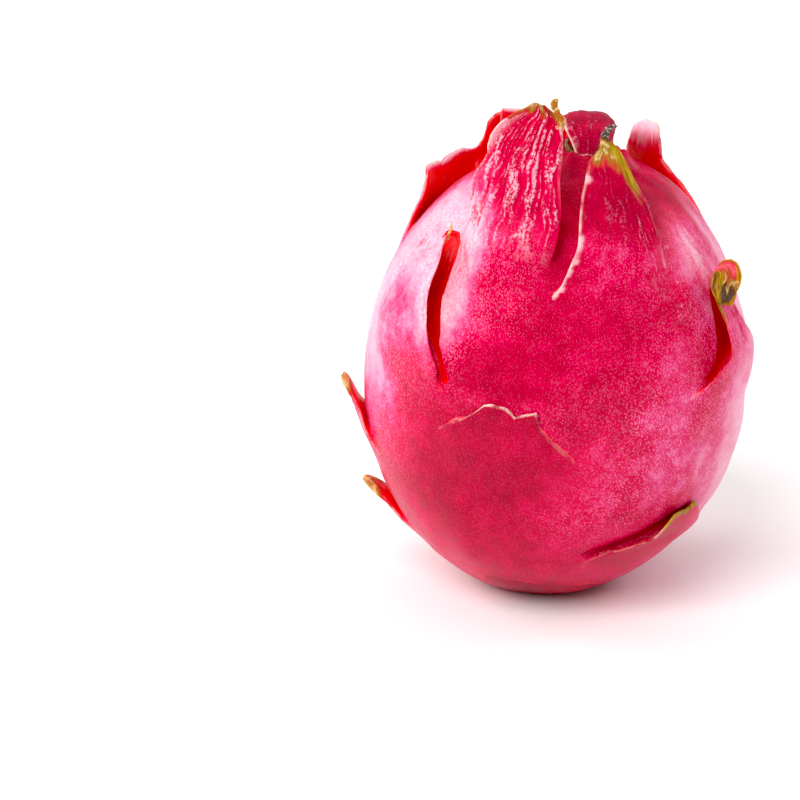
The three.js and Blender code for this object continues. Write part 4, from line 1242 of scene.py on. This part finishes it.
def place_flower():
    flower = turned_profile(STUB_PROFILE, STUB_RADIUS, STUB_SIDES)
    draw = seeded(FLOWER_SEED)
    for k in range(STRANDS):
        azimuth = 2 * math.pi * (k + STRAND_STRAY * next(draw)) / STRANDS
        open_side = max(0, math.cos(azimuth - OPEN_SIDE)) ** OPEN_POWER
        length = STRAND_LENGTH[0] + STRAND_LENGTH[1] * next(draw)
        reach = STRAND_REACH[0] + STRAND_REACH[1] * open_side * length
        curl = (next(draw) - 0.5) * (1 - open_side)
        path = []
        for t, out, up in STRAND_PATH:
            turn = azimuth + curl * t * STRAND_CURL
            r = STUB_RADIUS * out
            rise = up * reach if up > 0 else up
            path.append((r * math.sin(turn), -r * math.cos(turn), STUB_TOP + rise))
        strand = tube_piece(path, 1, STRAND_TAPER, *STRAND_FACETS)
        mesh = bpy.data.meshes.new("strand")
        strand.to_mesh(mesh)
        strand.free()
        flower.from_mesh(mesh)
        bpy.data.meshes.remove(mesh)
    flower.normal_update()
    crumple_verts(flower, FLOWER_LUMPS, shift=FLOWER_SHRINKS)
    material = dry_material("withered flower", "#dcc08a", "#4e3018", 1.3)
    place_piece(flower, "withered_flower", material, "dried_flower")


def place_stem():
    stem = turned_profile(STEM_PROFILE, STEM_RADIUS, STEM_SIDES)
    place_piece(stem, "cut_stem", dry_material("cut stem", "#a7a35c", "#5d5a2a", 1.0), "stem_stub")


# ---- camera, floor and light --------------------------------------------------------------
PICTURE = 800  # pixels on each side
PICTURE_CENTRE_OF_FRUIT = (555.3, 370.6)
PIXELS_PER_MM = 4.25
CAMERA_DISTANCE = 650.0
CAMERA_RISE = math.radians(18)
SENSOR = 36.0
FARTHEST_SEEN = 50
FLOOR_HALF_SIZE = 6
FLOOR_GREY = (0.9, 0.9, 0.9, 1)
BLACK_POINT = 0.012  # the darkest level that shows, for crisp contrast
REFLECTED_ROOM = 0.3  # how bright the room is in reflections
ROOM_FROM_FRONT = (-0.9, 0.5, 0.33, 1.0)  # quiet in front, bright behind
LIGHTS_AIM = Vector((0, 0, 0.055))
KEY_PLACE = (-0.42, -0.7, 0.85)
KEY_POWER = 2.5
KEY_SOFTNESS = math.radians(40)
PANELS = [("left_panel", 0.5, 3.6, (-0.86, 0.34, 0.5)), ("right_panel", 0.4, 1.8, (0.8, 0.4, 0.55))]


def set_camera():
    """Looks at the fruit's centre from the front and a little above, with it right of the middle."""
    focal = PIXELS_PER_MM * CAMERA_DISTANCE
    data = bpy.data.cameras.new("camera")
    data.lens = focal * SENSOR / PICTURE
    data.sensor_width = SENSOR
    data.clip_end = FARTHEST_SEEN
    camera = bpy.data.objects.new("camera", data)
    bpy.context.scene.collection.objects.link(camera)
    bpy.context.scene.camera = camera
    right, down = (place - PICTURE / 2 for place in PICTURE_CENTRE_OF_FRUIT)
    turn = Matrix.Rotation(math.atan2(right, focal), 3, "Y")
    seen = turn @ Vector((right, -down, -focal)).normalized()
    tip = Matrix.Rotation(-math.atan2(seen.y, -seen.z), 3, "X")
    back = Vector((0, -math.cos(CAMERA_RISE), math.sin(CAMERA_RISE)))
    level = Matrix((Vector((1, 0, 0)), back.cross(Vector((1, 0, 0))), back)).transposed()
    centre = Vector((FLAT_OFFSET, 0, CENTRE_HEIGHT))
    camera.matrix_world = (Matrix.Translation((centre + back * CAMERA_DISTANCE) * MM)
                           @ (level @ tip @ turn).to_4x4())


def set_floor():
    bm = bmesh.new()
    bmesh.ops.create_grid(bm, x_segments=1, y_segments=1, size=FLOOR_HALF_SIZE)
    floor = finish_mesh(bm, "floor")
    material = Nodes(bpy.data.materials.new("pale floor"))
    floor.data.materials.append(material.surface({"Base Color": FLOOR_GREY, "Roughness": 0.7}))


def set_room():
    """A white room, bright behind and quiet in front, and quieter in reflections."""
    scene = bpy.context.scene
    scene.view_settings.view_transform = "Standard"
    scene.view_settings.use_curve_mapping = True
    scene.view_settings.curve_mapping.black_level = (BLACK_POINT, BLACK_POINT, BLACK_POINT)
    scene.view_settings.curve_mapping.update()
    scene.world = bpy.data.worlds.new("studio")
    n = Nodes(scene.world)
    facing = n.add("ShaderNodeTexCoord").outputs["Generated"]
    facing = n.add("ShaderNodeSeparateXYZ", {0: facing}).outputs["Y"]
    level = n.fade(facing, *ROOM_FROM_FRONT)
    glossy = n.add("ShaderNodeLightPath").outputs["Is Glossy Ray"]
    strength = n.times(level, n.times(glossy, REFLECTED_ROOM - 1, 1))
    room = n.add("ShaderNodeBackground", {"Color": (1, 1, 1, 1), "Strength": strength})
    n.add("ShaderNodeOutputWorld", {"Surface": room.outputs[0]})


def set_lights():
    """A soft key at the upper left, which no reflection shows, and a panel at each side."""
    key = bpy.data.lights.new("key", "SUN")
    key.energy = KEY_POWER
    key.angle = KEY_SOFTNESS
    lights = [(key, KEY_PLACE)]
    for name, size, power, place in PANELS:
        panel = bpy.data.lights.new(name, "AREA")
        panel.shape = "DISK"
        panel.size = size
        panel.energy = power
        lights.append((panel, place))
    for data, place in lights:
        light = bpy.data.objects.new(data.name, data)
        light.location = place
        light.rotation_euler = (LIGHTS_AIM - light.location).to_track_quat("-Z", "Y").to_euler()
        light.visible_glossy = data is not key
        bpy.context.scene.collection.objects.link(light)


set_camera()
set_floor()
set_room()
set_lights()
claim(fruit_piece(), fruit_material(), "fruit")
place_flower()
place_stem()
